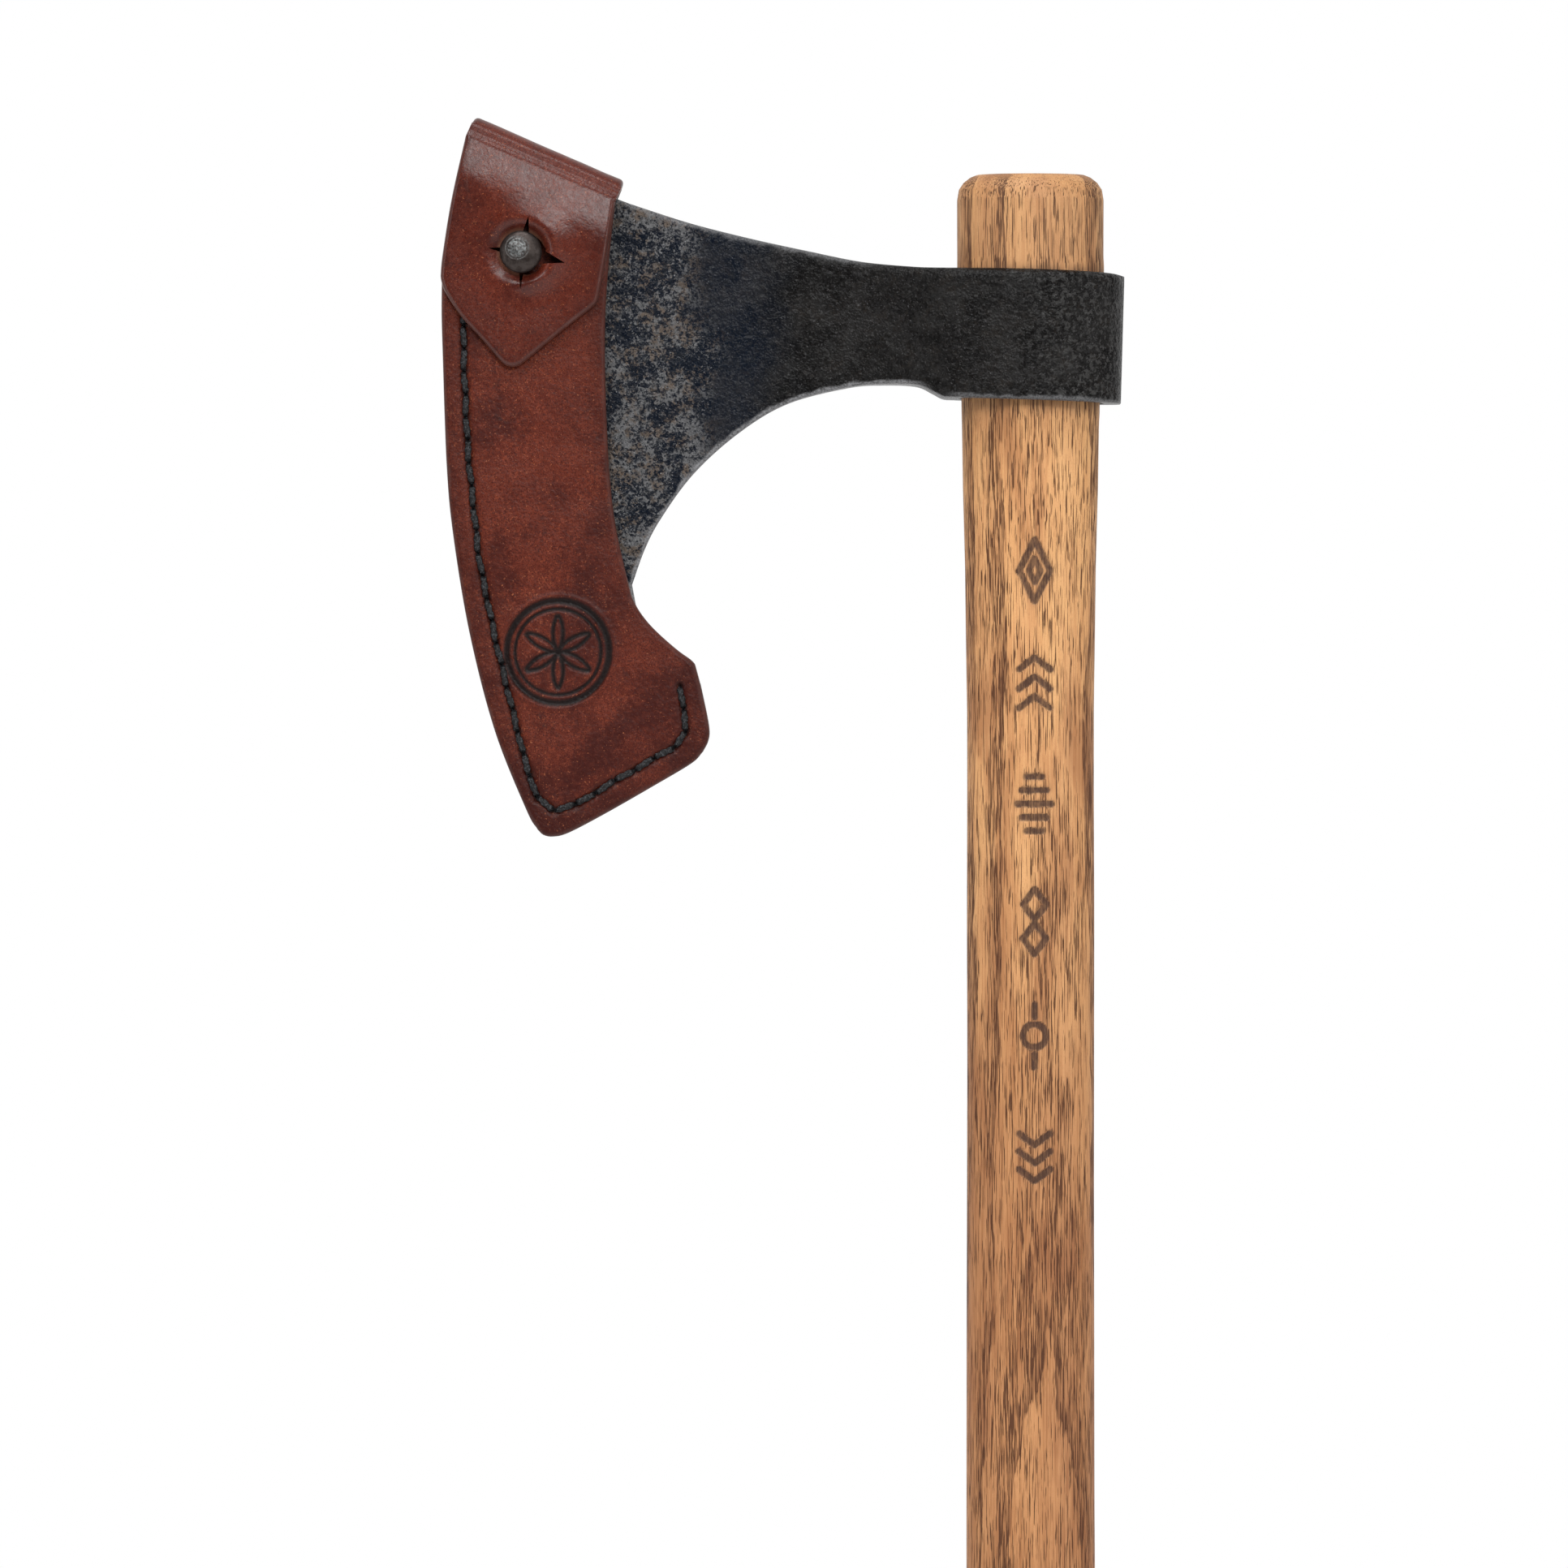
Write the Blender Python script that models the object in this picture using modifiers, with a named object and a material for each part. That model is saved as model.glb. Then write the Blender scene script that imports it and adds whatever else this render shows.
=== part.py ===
"""Bearded axe on a slip-fit haft, with a leather cover buttoned over its cutting edge.

The constants are in millimetres and the scene is in metres.
+Z runs up the haft, -X points towards the cutting edge and -Y is the side with the stud.
The origin is the centre of the haft's butt.
"""

import math

import bmesh
import bpy
from mathutils import Matrix, Vector

MM = 0.001
MERGE = 0.00001
GAP = 0.3
# How far cutters reach past what they cut.
CLEAR = 1.0

# The eye, a tapered oval hole that the haft is driven down into until it jams.
EYE_TOP = 458.0
EYE_BOTTOM = 424.0
EYE_TOP_RADIUS = 19.05
EYE_BOTTOM_RADIUS = 17.9

# The haft, turned from these radii and heights and then flattened to an oval.
HAFT_PROFILE = [
    (0.0, 483.0),
    (13.8, 483.0),
    (16.8, 481.9),
    (18.4, 480.0),
    (EYE_TOP_RADIUS, 477.0),
    (EYE_TOP_RADIUS, EYE_TOP),
    (EYE_BOTTOM_RADIUS, EYE_BOTTOM),
    (17.6, 402.0),
    (17.0, 381.0),
    (16.5, 345.0),
    (16.5, 250.0),
    (16.7, 120.0),
    (16.7, 3.0),
    (13.7, 0.0),
    (0.0, 0.0),
]
HAFT_DEPTH_RATIO = 0.72
HAFT_SIDES = 40

# The blade from its heel up to its toe: the cutting edge and, row for row, the line behind it.
CUTTING_EDGE = [
    (-120.1, 324.2),
    (-129.2, 333.1),
    (-134.8, 355.0),
    (-138.2, 381.4),
    (-140.4, 405.0),
    (-141.9, 430.0),
    (-142.2, 456.0),
    (-139.7, 488.9),
]
BLADE_BACK = [
    (-96.4, 338.5),
    (-95.9, 347.0),
    (-99.8, 358.0),
    (-103.1, 377.0),
    (-103.6, 400.0),
    (-103.9, 428.0),
    (-103.6, 452.0),
    (-103.0, 475.3),
]
BEARD_ROWS = 3
# Share of the way from the edge to the back, and half the thickness there.
BLADE_COLUMNS = [(0.0, 0.2), (0.17, 0.9), (0.5, 1.1), (0.75, 1.2), (1.0, 1.3)]
# The neck, eye and poll: underside point, top point and half the thickness.
HEAD_STATIONS = [
    ((-99.8, 386.2), (-98.0, 473.6), 1.5),
    ((-91.4, 400.5), (-90.0, 471.2), 1.8),
    ((-75.6, 416.2), (-72.5, 466.6), 2.8),
    ((-56.7, 426.5), (-56.7, 463.1), 4.4),
    ((-43.0, 428.6), (-44.1, 460.5), 5.8),
    ((-31.5, 428.6), (-33.0, 459.2), 8.5),
    ((-26.0, 427.0), (-26.0, 458.7), 12.0),
    ((-20.0, 425.3), (-20.0, 458.5), 14.8),
    ((-10.0, 425.0), (-10.0, 458.4), 17.0),
    ((0.0, 424.6), (0.0, 458.2), 17.6),
    ((10.0, 424.3), (10.0, 457.8), 16.8),
    ((18.0, 424.0), (18.0, 457.4), 13.2),
    ((22.4, 423.9), (22.6, 456.8), 8.6),
    ((23.6, 424.2), (24.6, 456.0), 3.5),
]

# The cover's layers, measured from the blade's middle plane.
LEATHER = 2.6
WELT_HALF = 2.0
PANEL_INNER = WELT_HALF + GAP
PANEL_OUTER = PANEL_INNER + LEATHER
FLAP_INNER = PANEL_OUTER + 0.4
FLAP_OUTER = FLAP_INNER + LEATHER

# The fold over the toe: a half tube whose crest falls towards the haft.
CREST_START = Vector((-143.5, 498.3))
CREST_FALL = math.radians(23.4)
CREST_LENGTH = 42.1
FOLD_RADIUS = (PANEL_INNER + FLAP_INNER + LEATHER) / 2
FOLD_AXIS_Y = (PANEL_INNER - FLAP_INNER) / 2
FOLD_STEPS = 16

# The cover's outline below the fold, down the edge side, along the bottom and up the haft side.
COVER_EDGE_SIDE = [
    (-149.7, 475.9),
    (-151.8, 463.3),
    (-152.4, 450.0),
    (-152.0, 436.0),
    (-151.0, 408.0),
    (-149.3, 389.8),
    (-145.1, 364.6),
    (-138.6, 339.4),
    (-130.2, 318.4),
    (-126.4, 312.7),
]
COVER_BOTTOM = [
    (-123.9, 311.9),
    (-120.8, 312.3),
    (-97.7, 324.9),
    (-87.2, 331.2),
    (-84.0, 335.2),
    (-83.0, 339.4),
    (-84.6, 347.8),
]
COVER_HAFT_SIDE = [
    (-87.2, 357.2),
    (-91.4, 360.2),
    (-96.4, 364.6),
    (-99.8, 368.3),
    (-103.7, 376.3),
    (-107.7, 394.0),
    (-109.2, 410.8),
    (-110.0, 444.4),
    (-108.8, 463.3),
]
# The welt's end at the haft side, and its inner side from there round to the toe.
WELT_INNER = [
    (-85.5, 351.5),
    (-93.2, 351.5),
    (-93.6, 339.5),
    (-95.0, 337.0),
    (-120.2, 322.2),
    (-124.5, 323.5),
    (-131.5, 334.5),
    (-136.5, 355.0),
    (-139.7, 381.4),
    (-142.2, 410.8),
    (-143.6, 437.0),
    (-143.4, 468.0),
    (-141.2, 488.0),
]
FLAP_OUTLINE = [
    (-149.7, 475.9),
    (-151.8, 463.3),
    (-152.4, 457.0),
    (-151.9, 454.6),
    (-147.0, 445.8),
    (-136.5, 434.3),
    (-134.4, 433.2),
    (-131.3, 434.3),
    (-112.4, 449.6),
    (-111.3, 452.8),
    (-109.8, 461.2),
]

# The seam: saddle stitches in a groove, two passes of one thread side by side in each hole.
SEAM_LINE = [
    (-143.0, 485.0),
    (-144.9, 475.0),
    (-146.4, 460.0),
    (-146.6, 436.0),
    (-145.5, 411.4),
    (-142.6, 383.5),
    (-138.4, 363.0),
    (-131.0, 332.4),
    (-127.6, 321.8),
    (-124.0, 318.7),
    (-120.0, 318.8),
    (-105.6, 327.4),
    (-88.8, 337.0),
    (-90.6, 350.7),
]
STITCH_PITCH = 5.9
THREAD_RADIUS = 0.45
THREAD_SIDE_STEP = 0.6
THREAD_DEPTH = PANEL_OUTER - 0.4
GROOVE_RADIUS = 1.65
STITCH_HOLE_RADIUS = THREAD_SIDE_STEP + THREAD_RADIUS + GAP
STITCH_HOLE_SIDES = 8

# The stud and its screw, along -Y.
STUD_CENTRE = Vector((-131.7, 462.8))
STUD_BASE_RADIUS = 4.2
STUD_BASE_THICKNESS = 0.9
STUD_NECK_RADIUS = 2.8
STUD_HEAD_RADIUS = 5.45
STUD_HEAD_HEIGHT = 3.4
STUD_RIM_HEIGHT = 1.3
STUD_SIDES = 24
SCREW_SHANK_RADIUS = 1.5
SCREW_HEAD_RADIUS = 3.7
SCREW_HEAD_THICKNESS = 1.0
SCREW_SLOT_WIDTH = 0.8
SCREW_SLOT_DEPTH = 0.5
FLAP_HOLE_RADIUS = 7.2
FLAP_HOLE_DROP = 0.6
FLAP_SLIT_REACH = 10.5
FLAP_SLIT_WIDTH = 0.8
FLAP_SLIT_TILT = math.radians(7.0)


def clear_scene():
    for obj in list(bpy.data.objects):
        bpy.data.objects.remove(obj, do_unlink=True)


def new_collection(name):
    group = bpy.data.collections.new(name)
    bpy.context.scene.collection.children.link(group)
    return group


def new_material(name, colour, roughness, metallic):
    material = bpy.data.materials.new(name)
    material.use_nodes = True
    shader = material.node_tree.nodes["Principled BSDF"]
    shader.inputs["Base Color"].default_value = (*colour, 1.0)
    shader.inputs["Roughness"].default_value = roughness
    shader.inputs["Metallic"].default_value = metallic
    return material


def add_object(name, data, group, material=None):
    obj = bpy.data.objects.new(name, data)
    group.objects.link(obj)
    if material:
        data.materials.append(material)
    return obj


def curve_to_mesh(obj, material=None):
    """Replace a curve object with the welded mesh that it draws."""
    bpy.context.view_layer.update()
    evaluated = obj.evaluated_get(bpy.context.evaluated_depsgraph_get())
    mesh = bpy.data.meshes.new_from_object(evaluated)
    welded = bmesh.new()
    welded.from_mesh(mesh)
    bmesh.ops.remove_doubles(welded, verts=welded.verts, dist=MERGE)
    bmesh.ops.recalc_face_normals(welded, faces=welded.faces)
    welded.to_mesh(mesh)
    welded.free()
    name = obj.name
    group = obj.users_collection[0]
    place = obj.matrix_world.copy()
    bpy.data.objects.remove(obj, do_unlink=True)
    solid = add_object(name, mesh, group, material)
    solid.matrix_world = place
    return solid


def flat_piece(name, outline, near, far, group, material):
    """A flat piece with this X-Z outline, between two distances towards -Y."""
    curve = bpy.data.curves.new(name, "CURVE")
    curve.dimensions = "2D"
    curve.fill_mode = "BOTH"
    curve.extrude = abs(far - near) / 2 * MM
    spline = curve.splines.new("POLY")
    spline.points.add(len(outline) - 1)
    for point, (x, z) in zip(spline.points, outline):
        point.co = (x * MM, z * MM, 0.0, 1.0)
    spline.use_cyclic_u = True
    obj = add_object(name, curve, group)
    obj.rotation_euler.x = math.pi / 2
    obj.location.y = -(near + far) / 2 * MM
    return curve_to_mesh(obj, material)


def tube(name, points, radius, group, material=None):
    """A round bar through these points, in millimetres."""
    curve = bpy.data.curves.new(name, "CURVE")
    curve.dimensions = "3D"
    curve.bevel_depth = radius * MM
    curve.bevel_resolution = 1
    curve.use_fill_caps = True
    spline = curve.splines.new("POLY")
    spline.points.add(len(points) - 1)
    for node, point in zip(spline.points, points):
        node.co = (*(Vector(point) * MM), 1.0)
    return curve_to_mesh(add_object(name, curve, group), material)


def turned_piece(name, profile, sides, group, material=None):
    """A solid turned about its own Z from (radius, height) points that run down its outer side."""
    mesh = bpy.data.meshes.new(name)
    points = [(radius * MM, 0.0, height * MM) for radius, height in profile]
    mesh.from_pydata(points, [(i, i + 1) for i in range(len(points) - 1)], [])
    obj = add_object(name, mesh, group, material)
    screw = obj.modifiers.new("turn", "SCREW")
    screw.axis = "Z"
    screw.steps = sides
    screw.render_steps = sides
    screw.use_merge_vertices = True
    screw.merge_threshold = MERGE
    return obj


def point_at_button_side(obj, centre):
    """Turn an object's Z to -Y and put its axis through this X-Z point."""
    obj.rotation_euler.x = math.pi / 2
    obj.location = (centre.x * MM, 0.0, centre.y * MM)


def cut(obj, cutter):
    cutter.hide_render = True
    cutter.display_type = "WIRE"
    boolean = obj.modifiers.new(cutter.name, "BOOLEAN")
    boolean.operation = "DIFFERENCE"
    boolean.object = cutter


def build_handle(group, material):
    handle = turned_piece("handle", HAFT_PROFILE, HAFT_SIDES, group, material)
    handle.scale.y = HAFT_DEPTH_RATIO
    return handle


def eye_cutter(cutters):
    profile = [
        (0.0, EYE_TOP + CLEAR),
        (EYE_TOP_RADIUS + GAP, EYE_TOP + CLEAR),
        (EYE_TOP_RADIUS + GAP, EYE_TOP),
        (EYE_BOTTOM_RADIUS + GAP, EYE_BOTTOM),
        (EYE_BOTTOM_RADIUS + GAP, EYE_BOTTOM - CLEAR),
        (0.0, EYE_BOTTOM - CLEAR),
    ]
    cutter = turned_piece("eye_cutter", profile, HAFT_SIDES, cutters)
    cutter.scale.y = HAFT_DEPTH_RATIO
    return cutter


def head_columns():
    """Columns of (x, z, half thickness) from the edge to the poll; the neck's start at the beard row."""
    columns = []
    for share, half in BLADE_COLUMNS:
        pairs = zip(CUTTING_EDGE, BLADE_BACK)
        column = [Vector(edge).lerp(Vector(back), share) for edge, back in pairs]
        columns.append([(p.x, p.y, half) for p in column])
    low = BLADE_BACK[BEARD_ROWS][1]
    high = BLADE_BACK[-1][1]
    rows = [(z - low) / (high - low) for _, z in BLADE_BACK[BEARD_ROWS:]]
    for bottom, top, half in HEAD_STATIONS:
        column = [Vector(bottom).lerp(Vector(top), share) for share in rows]
        columns.append([(p.x, p.y, half) for p in column])
    return columns


def build_axe_head(group, material, eye):
    half = bmesh.new()
    columns = []
    for column in head_columns():
        columns.append([half.verts.new((x * MM, -y * MM, z * MM)) for x, z, y in column])
    for left, right in zip(columns, columns[1:]):
        rows = min(len(left), len(right))
        left = left[-rows:]
        right = right[-rows:]
        for row in range(rows - 1):
            half.faces.new((left[row], right[row], right[row + 1], left[row + 1]))
    rim = [edge for edge in half.edges if edge.is_boundary]
    made = bmesh.ops.extrude_edge_only(half, edges=rim)["geom"]
    for vert in made:
        if isinstance(vert, bmesh.types.BMVert):
            vert.co.y = 0.0
    bmesh.ops.recalc_face_normals(half, faces=half.faces)
    mesh = bpy.data.meshes.new("axe_head")
    half.to_mesh(mesh)
    half.free()
    head = add_object("axe_head", mesh, group, material)
    mirror = head.modifiers.new("other side", "MIRROR")
    mirror.use_axis = (False, True, False)
    mirror.merge_threshold = MERGE
    cut(head, eye)
    return head


def crest_frame():
    """Unit vectors along the crest and across it, upwards."""
    along = Vector((math.cos(CREST_FALL), -math.sin(CREST_FALL)))
    across = Vector((math.sin(CREST_FALL), math.cos(CREST_FALL)))
    return along, across


def fold_root(distance):
    """The X-Z point, at this distance along the crest, where the fold meets the flat leather."""
    along, across = crest_frame()
    return CREST_START + along * distance - across * (FOLD_RADIUS + LEATHER / 2)


def hinge_point():
    """The middle of the hinge axis, at the top of the leather's bend."""
    along, across = crest_frame()
    middle = fold_root(CREST_LENGTH / 2) + across * FOLD_RADIUS
    return Vector((middle.x, FOLD_AXIS_Y, middle.y))


def cover_outline():
    top = [tuple(fold_root(CREST_LENGTH)), tuple(fold_root(0.0))]
    return top + COVER_EDGE_SIDE + COVER_BOTTOM + COVER_HAFT_SIDE


def welt_outline():
    outer = [tuple(fold_root(0.0))] + COVER_EDGE_SIDE + COVER_BOTTOM
    return outer + WELT_INNER


def seam_holes():
    """The stitch holes' X-Z centres and the seam's direction at each, at an even pitch."""
    line = [Vector(point) for point in SEAM_LINE]
    runs = [(b - a).length for a, b in zip(line, line[1:])]
    count = round(sum(runs) / STITCH_PITCH)
    step = sum(runs) / count
    centres = []
    for hole in range(count + 1):
        left = min(hole * step, sum(runs) - MERGE)
        run = 0
        while left > runs[run]:
            left -= runs[run]
            run += 1
        centres.append(line[run].lerp(line[run + 1], left / runs[run]))
    before = centres[:1] + centres[:-1]
    after = centres[1:] + centres[-1:]
    return [(c, (b - a).normalized()) for c, a, b in zip(centres, before, after)]


def stitch_hole_cutter(cutters):
    merged = bmesh.new()
    for centre, _ in seam_holes():
        place = Matrix.Translation((centre.x * MM, 0.0, centre.y * MM))
        bmesh.ops.create_cone(
            merged,
            cap_ends=True,
            segments=STITCH_HOLE_SIDES,
            radius1=STITCH_HOLE_RADIUS * MM,
            radius2=STITCH_HOLE_RADIUS * MM,
            depth=2 * (PANEL_OUTER + CLEAR) * MM,
            matrix=place @ Matrix.Rotation(math.pi / 2, 4, "X"),
        )
    mesh = bpy.data.meshes.new("stitch_hole_cutter")
    merged.to_mesh(mesh)
    merged.free()
    return add_object("stitch_hole_cutter", mesh, cutters)


def groove_cutter(name, side, cutters):
    line = [(centre.x, side * PANEL_OUTER, centre.y) for centre, _ in seam_holes()]
    return tube(name, line, GROOVE_RADIUS, cutters)


def thread_pass(holes, offset, first_side):
    """One pass of the thread: along one face, through a hole, along the other face, and so on."""
    points = []
    side = first_side
    for hole, (centre, direction) in enumerate(holes):
        sideways = Vector((-direction.y, direction.x)) * offset
        place = centre + sideways
        points.append((place.x, side * THREAD_DEPTH, place.y))
        if 0 < hole < len(holes) - 1:
            side = -side
            points.append((place.x, side * THREAD_DEPTH, place.y))
    return points


def build_seam_thread(group, material):
    holes = seam_holes()
    back_to_start = thread_pass(holes, THREAD_SIDE_STEP, -1)[::-1]
    start_to_end = thread_pass(holes, -THREAD_SIDE_STEP, 1)
    return tube("seam_thread", back_to_start + start_to_end, THREAD_RADIUS, group, material)


def build_front_panel(group, cutters, material, holes):
    panel = flat_piece(
        "cover_front_panel", cover_outline(), PANEL_INNER, PANEL_OUTER, group, material
    )
    cut(panel, groove_cutter("front_groove_cutter", -1, cutters))
    cut(panel, holes)
    recess = SCREW_HEAD_RADIUS + GAP
    floor = PANEL_INNER + SCREW_HEAD_THICKNESS + 2 * GAP
    bore = SCREW_SHANK_RADIUS + GAP
    profile = [
        (0.0, PANEL_OUTER + CLEAR),
        (bore, PANEL_OUTER + CLEAR),
        (bore, floor),
        (recess, floor),
        (recess, PANEL_INNER - CLEAR),
        (0.0, PANEL_INNER - CLEAR),
    ]
    bore_cutter = turned_piece("screw_hole_cutter", profile, STUD_SIDES, cutters)
    point_at_button_side(bore_cutter, STUD_CENTRE)
    cut(panel, bore_cutter)
    return panel


def build_back_panel(group, cutters, material, holes):
    panel = flat_piece(
        "cover_back_panel", cover_outline(), -PANEL_OUTER, -PANEL_INNER, group, material
    )
    cut(panel, groove_cutter("back_groove_cutter", 1, cutters))
    cut(panel, holes)
    return panel


def build_welt(group, material, holes):
    welt = flat_piece("edge_welt", welt_outline(), -WELT_HALF, WELT_HALF, group, material)
    cut(welt, holes)
    return welt


def build_fold(group, material, hinge):
    """The bend over the toe: a half tube along the crest, made as a sheet and thickened."""
    start = math.asin(GAP / FOLD_RADIUS)
    angles = [start + (math.pi - 2 * start) * i / FOLD_STEPS for i in range(FOLD_STEPS + 1)]
    sheet = bmesh.new()
    rows = []
    for angle in angles:
        y = FOLD_RADIUS * math.cos(angle)
        z = FOLD_RADIUS * (math.sin(angle) - 1.0)
        ends = (-CREST_LENGTH / 2, CREST_LENGTH / 2)
        rows.append([sheet.verts.new((x * MM, y * MM, z * MM)) for x in ends])
    for low, high in zip(rows, rows[1:]):
        sheet.faces.new((low[0], high[0], high[1], low[1]))
    bmesh.ops.recalc_face_normals(sheet, faces=sheet.faces)
    mesh = bpy.data.meshes.new("flap_fold")
    sheet.to_mesh(mesh)
    sheet.free()
    fold = add_object("flap_fold", mesh, group, material)
    solidify = fold.modifiers.new("leather", "SOLIDIFY")
    solidify.thickness = LEATHER * MM
    solidify.offset = 0.0
    fold.parent = hinge
    return fold


def flap_hole_cutter(cutters):
    """The stretched button hole with its cross slits."""
    merged = bmesh.new()
    depth = 2 * (FLAP_OUTER + CLEAR) * MM
    bmesh.ops.create_cone(
        merged,
        cap_ends=True,
        segments=STUD_SIDES,
        radius1=FLAP_HOLE_RADIUS * MM,
        radius2=FLAP_HOLE_RADIUS * MM,
        depth=depth,
        matrix=Matrix.Rotation(math.pi / 2, 4, "X"),
    )
    mesh = bpy.data.meshes.new("flap_hole_cutter")
    merged.to_mesh(mesh)
    merged.free()
    hole = add_object("flap_hole_cutter", mesh, cutters)
    hole.location = (STUD_CENTRE.x * MM, 0.0, (STUD_CENTRE.y - FLAP_HOLE_DROP) * MM)
    slits = []
    for name, turn in (("level_slit_cutter", 0.0), ("upright_slit_cutter", math.pi / 2)):
        box = bmesh.new()
        size = (2 * FLAP_SLIT_REACH * MM, depth, FLAP_SLIT_WIDTH * MM)
        bmesh.ops.create_cube(box, size=1.0, matrix=Matrix.Diagonal((*size, 1.0)))
        slit_mesh = bpy.data.meshes.new(name)
        box.to_mesh(slit_mesh)
        box.free()
        slit = add_object(name, slit_mesh, cutters)
        slit.location = hole.location
        slit.rotation_euler.y = turn + FLAP_SLIT_TILT
        slits.append(slit)
    return [hole] + slits


def build_closure_flap(group, cutters, material, hinge):
    outline = [tuple(fold_root(CREST_LENGTH)), tuple(fold_root(0.0))] + FLAP_OUTLINE
    flap = flat_piece("closure_flap", outline, FLAP_INNER, FLAP_OUTER, group, material)
    for cutter in flap_hole_cutter(cutters):
        cut(flap, cutter)
    bpy.context.view_layer.update()
    flap.parent = hinge
    flap.matrix_parent_inverse = hinge.matrix_world.inverted()
    return flap


def build_stud(group, material):
    base = PANEL_OUTER + GAP
    neck = base + STUD_BASE_THICKNESS
    head = FLAP_OUTER + GAP
    bore = SCREW_SHANK_RADIUS + GAP
    dome = []
    for step in range(6):
        angle = math.pi / 2 * step / 6
        height = head + STUD_RIM_HEIGHT
        rise = (STUD_HEAD_HEIGHT - STUD_RIM_HEIGHT) * math.cos(angle)
        dome.append((STUD_HEAD_RADIUS * math.sin(angle), height + rise))
    profile = dome + [
        (STUD_HEAD_RADIUS, head + STUD_RIM_HEIGHT),
        (STUD_HEAD_RADIUS, head),
        (STUD_NECK_RADIUS, head),
        (STUD_NECK_RADIUS, neck),
        (STUD_BASE_RADIUS, neck),
        (STUD_BASE_RADIUS, base),
        (bore, base),
        (bore, head),
        (0.0, head),
    ]
    stud = turned_piece("stud_button", profile, STUD_SIDES, group, material)
    point_at_button_side(stud, STUD_CENTRE)
    return stud


def build_screw(group, cutters, material):
    low = PANEL_INNER + GAP
    profile = [
        (0.0, FLAP_OUTER),
        (SCREW_SHANK_RADIUS, FLAP_OUTER),
        (SCREW_SHANK_RADIUS, low + SCREW_HEAD_THICKNESS),
        (SCREW_HEAD_RADIUS, low + SCREW_HEAD_THICKNESS),
        (SCREW_HEAD_RADIUS, low),
        (0.0, low),
    ]
    screw = turned_piece("stud_screw", profile, STUD_SIDES, group, material)
    point_at_button_side(screw, STUD_CENTRE)
    box = bmesh.new()
    length = 2 * (SCREW_HEAD_RADIUS + CLEAR)
    size = (length * MM, 2 * SCREW_SLOT_DEPTH * MM, SCREW_SLOT_WIDTH * MM)
    bmesh.ops.create_cube(box, size=1.0, matrix=Matrix.Diagonal((*size, 1.0)))
    mesh = bpy.data.meshes.new("screw_slot_cutter")
    box.to_mesh(mesh)
    box.free()
    slot = add_object("screw_slot_cutter", mesh, cutters)
    slot.location = (STUD_CENTRE.x * MM, -low * MM, STUD_CENTRE.y * MM)
    cut(screw, slot)
    return screw


def build():
    clear_scene()
    group = new_collection("hatchet")
    cutters = new_collection("cutters")
    wood = new_material("oiled_hickory", (0.52, 0.27, 0.13), 0.6, 0.0)
    steel = new_material("blackened_steel", (0.035, 0.034, 0.034), 0.45, 0.9)
    leather = new_material("brown_leather", (0.13, 0.03, 0.022), 0.6, 0.0)
    thread = new_material("black_waxed_thread", (0.012, 0.012, 0.013), 0.5, 0.0)
    stud_metal = new_material("gunmetal", (0.06, 0.055, 0.055), 0.35, 0.9)

    hinge = add_object("flap_hinge_axis", None, group)
    hinge.location = hinge_point() * MM
    hinge.rotation_euler.y = CREST_FALL
    bpy.context.view_layer.update()

    holes = stitch_hole_cutter(cutters)
    build_handle(group, wood)
    build_axe_head(group, steel, eye_cutter(cutters))
    build_front_panel(group, cutters, leather, holes)
    build_back_panel(group, cutters, leather, holes)
    build_welt(group, leather, holes)
    build_fold(group, leather, hinge)
    build_closure_flap(group, cutters, leather, hinge)
    build_seam_thread(group, thread)
    build_stud(group, stud_metal)
    build_screw(group, cutters, stud_metal)
    for obj in group.objects:
        if obj.type == "MESH":
            obj.data.shade_smooth()
            obj.data.set_sharp_from_angle(angle=math.radians(35.0))


build()
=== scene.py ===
"""The looks of a bearded hatchet on a straight haft, with a leather cover buttoned over its edge.

Lengths are in millimetres in the frame's axes, and MM turns them to metres: +Z runs up the haft, -X
towards the cutting edge and -Y out of the side with the stud. Each piece's vertices hold its place.
"""

import math

import bmesh
import bpy
import numpy as np
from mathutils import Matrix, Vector


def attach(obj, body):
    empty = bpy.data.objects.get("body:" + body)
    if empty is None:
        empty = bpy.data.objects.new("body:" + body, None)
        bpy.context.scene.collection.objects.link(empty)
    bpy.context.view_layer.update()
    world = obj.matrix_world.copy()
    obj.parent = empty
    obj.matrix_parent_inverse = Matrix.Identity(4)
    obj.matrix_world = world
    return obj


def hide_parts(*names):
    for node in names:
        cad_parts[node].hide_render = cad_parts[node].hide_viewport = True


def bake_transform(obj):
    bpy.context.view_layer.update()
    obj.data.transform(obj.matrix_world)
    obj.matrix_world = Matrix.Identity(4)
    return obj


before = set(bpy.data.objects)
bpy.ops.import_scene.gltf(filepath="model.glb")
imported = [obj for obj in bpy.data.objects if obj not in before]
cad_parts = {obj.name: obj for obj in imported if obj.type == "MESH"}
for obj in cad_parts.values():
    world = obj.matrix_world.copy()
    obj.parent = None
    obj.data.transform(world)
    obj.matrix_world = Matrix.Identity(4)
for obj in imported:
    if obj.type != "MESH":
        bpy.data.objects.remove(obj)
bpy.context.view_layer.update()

MM = 0.001
# Edges that turn more than this many degrees are shaded sharp.
LEATHER_SHARP = 60.0
STEEL_SHARP = 38.0

# The picture: a level-headed view of the button side.
VIEW_CENTRE = Vector((-63.8, 0.0, 325.5))
VIEW_WIDTH = 405.7
CAMERA_DISTANCE = 3000.0
SENSOR_WIDTH = 36.0

# The haft and the eye.
HAFT_LENGTH = 483.0
# Where the haft starts to round over into its top.
SHOULDER = 472.0
HAFT_DEPTH_RATIO = 0.72
EYE_TOP = 458.0
EYE_BOTTOM = 424.0
EYE_GAP = 0.3
TOP_CAP_RINGS = 11
BUTT_CAP_RINGS = 3
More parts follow.
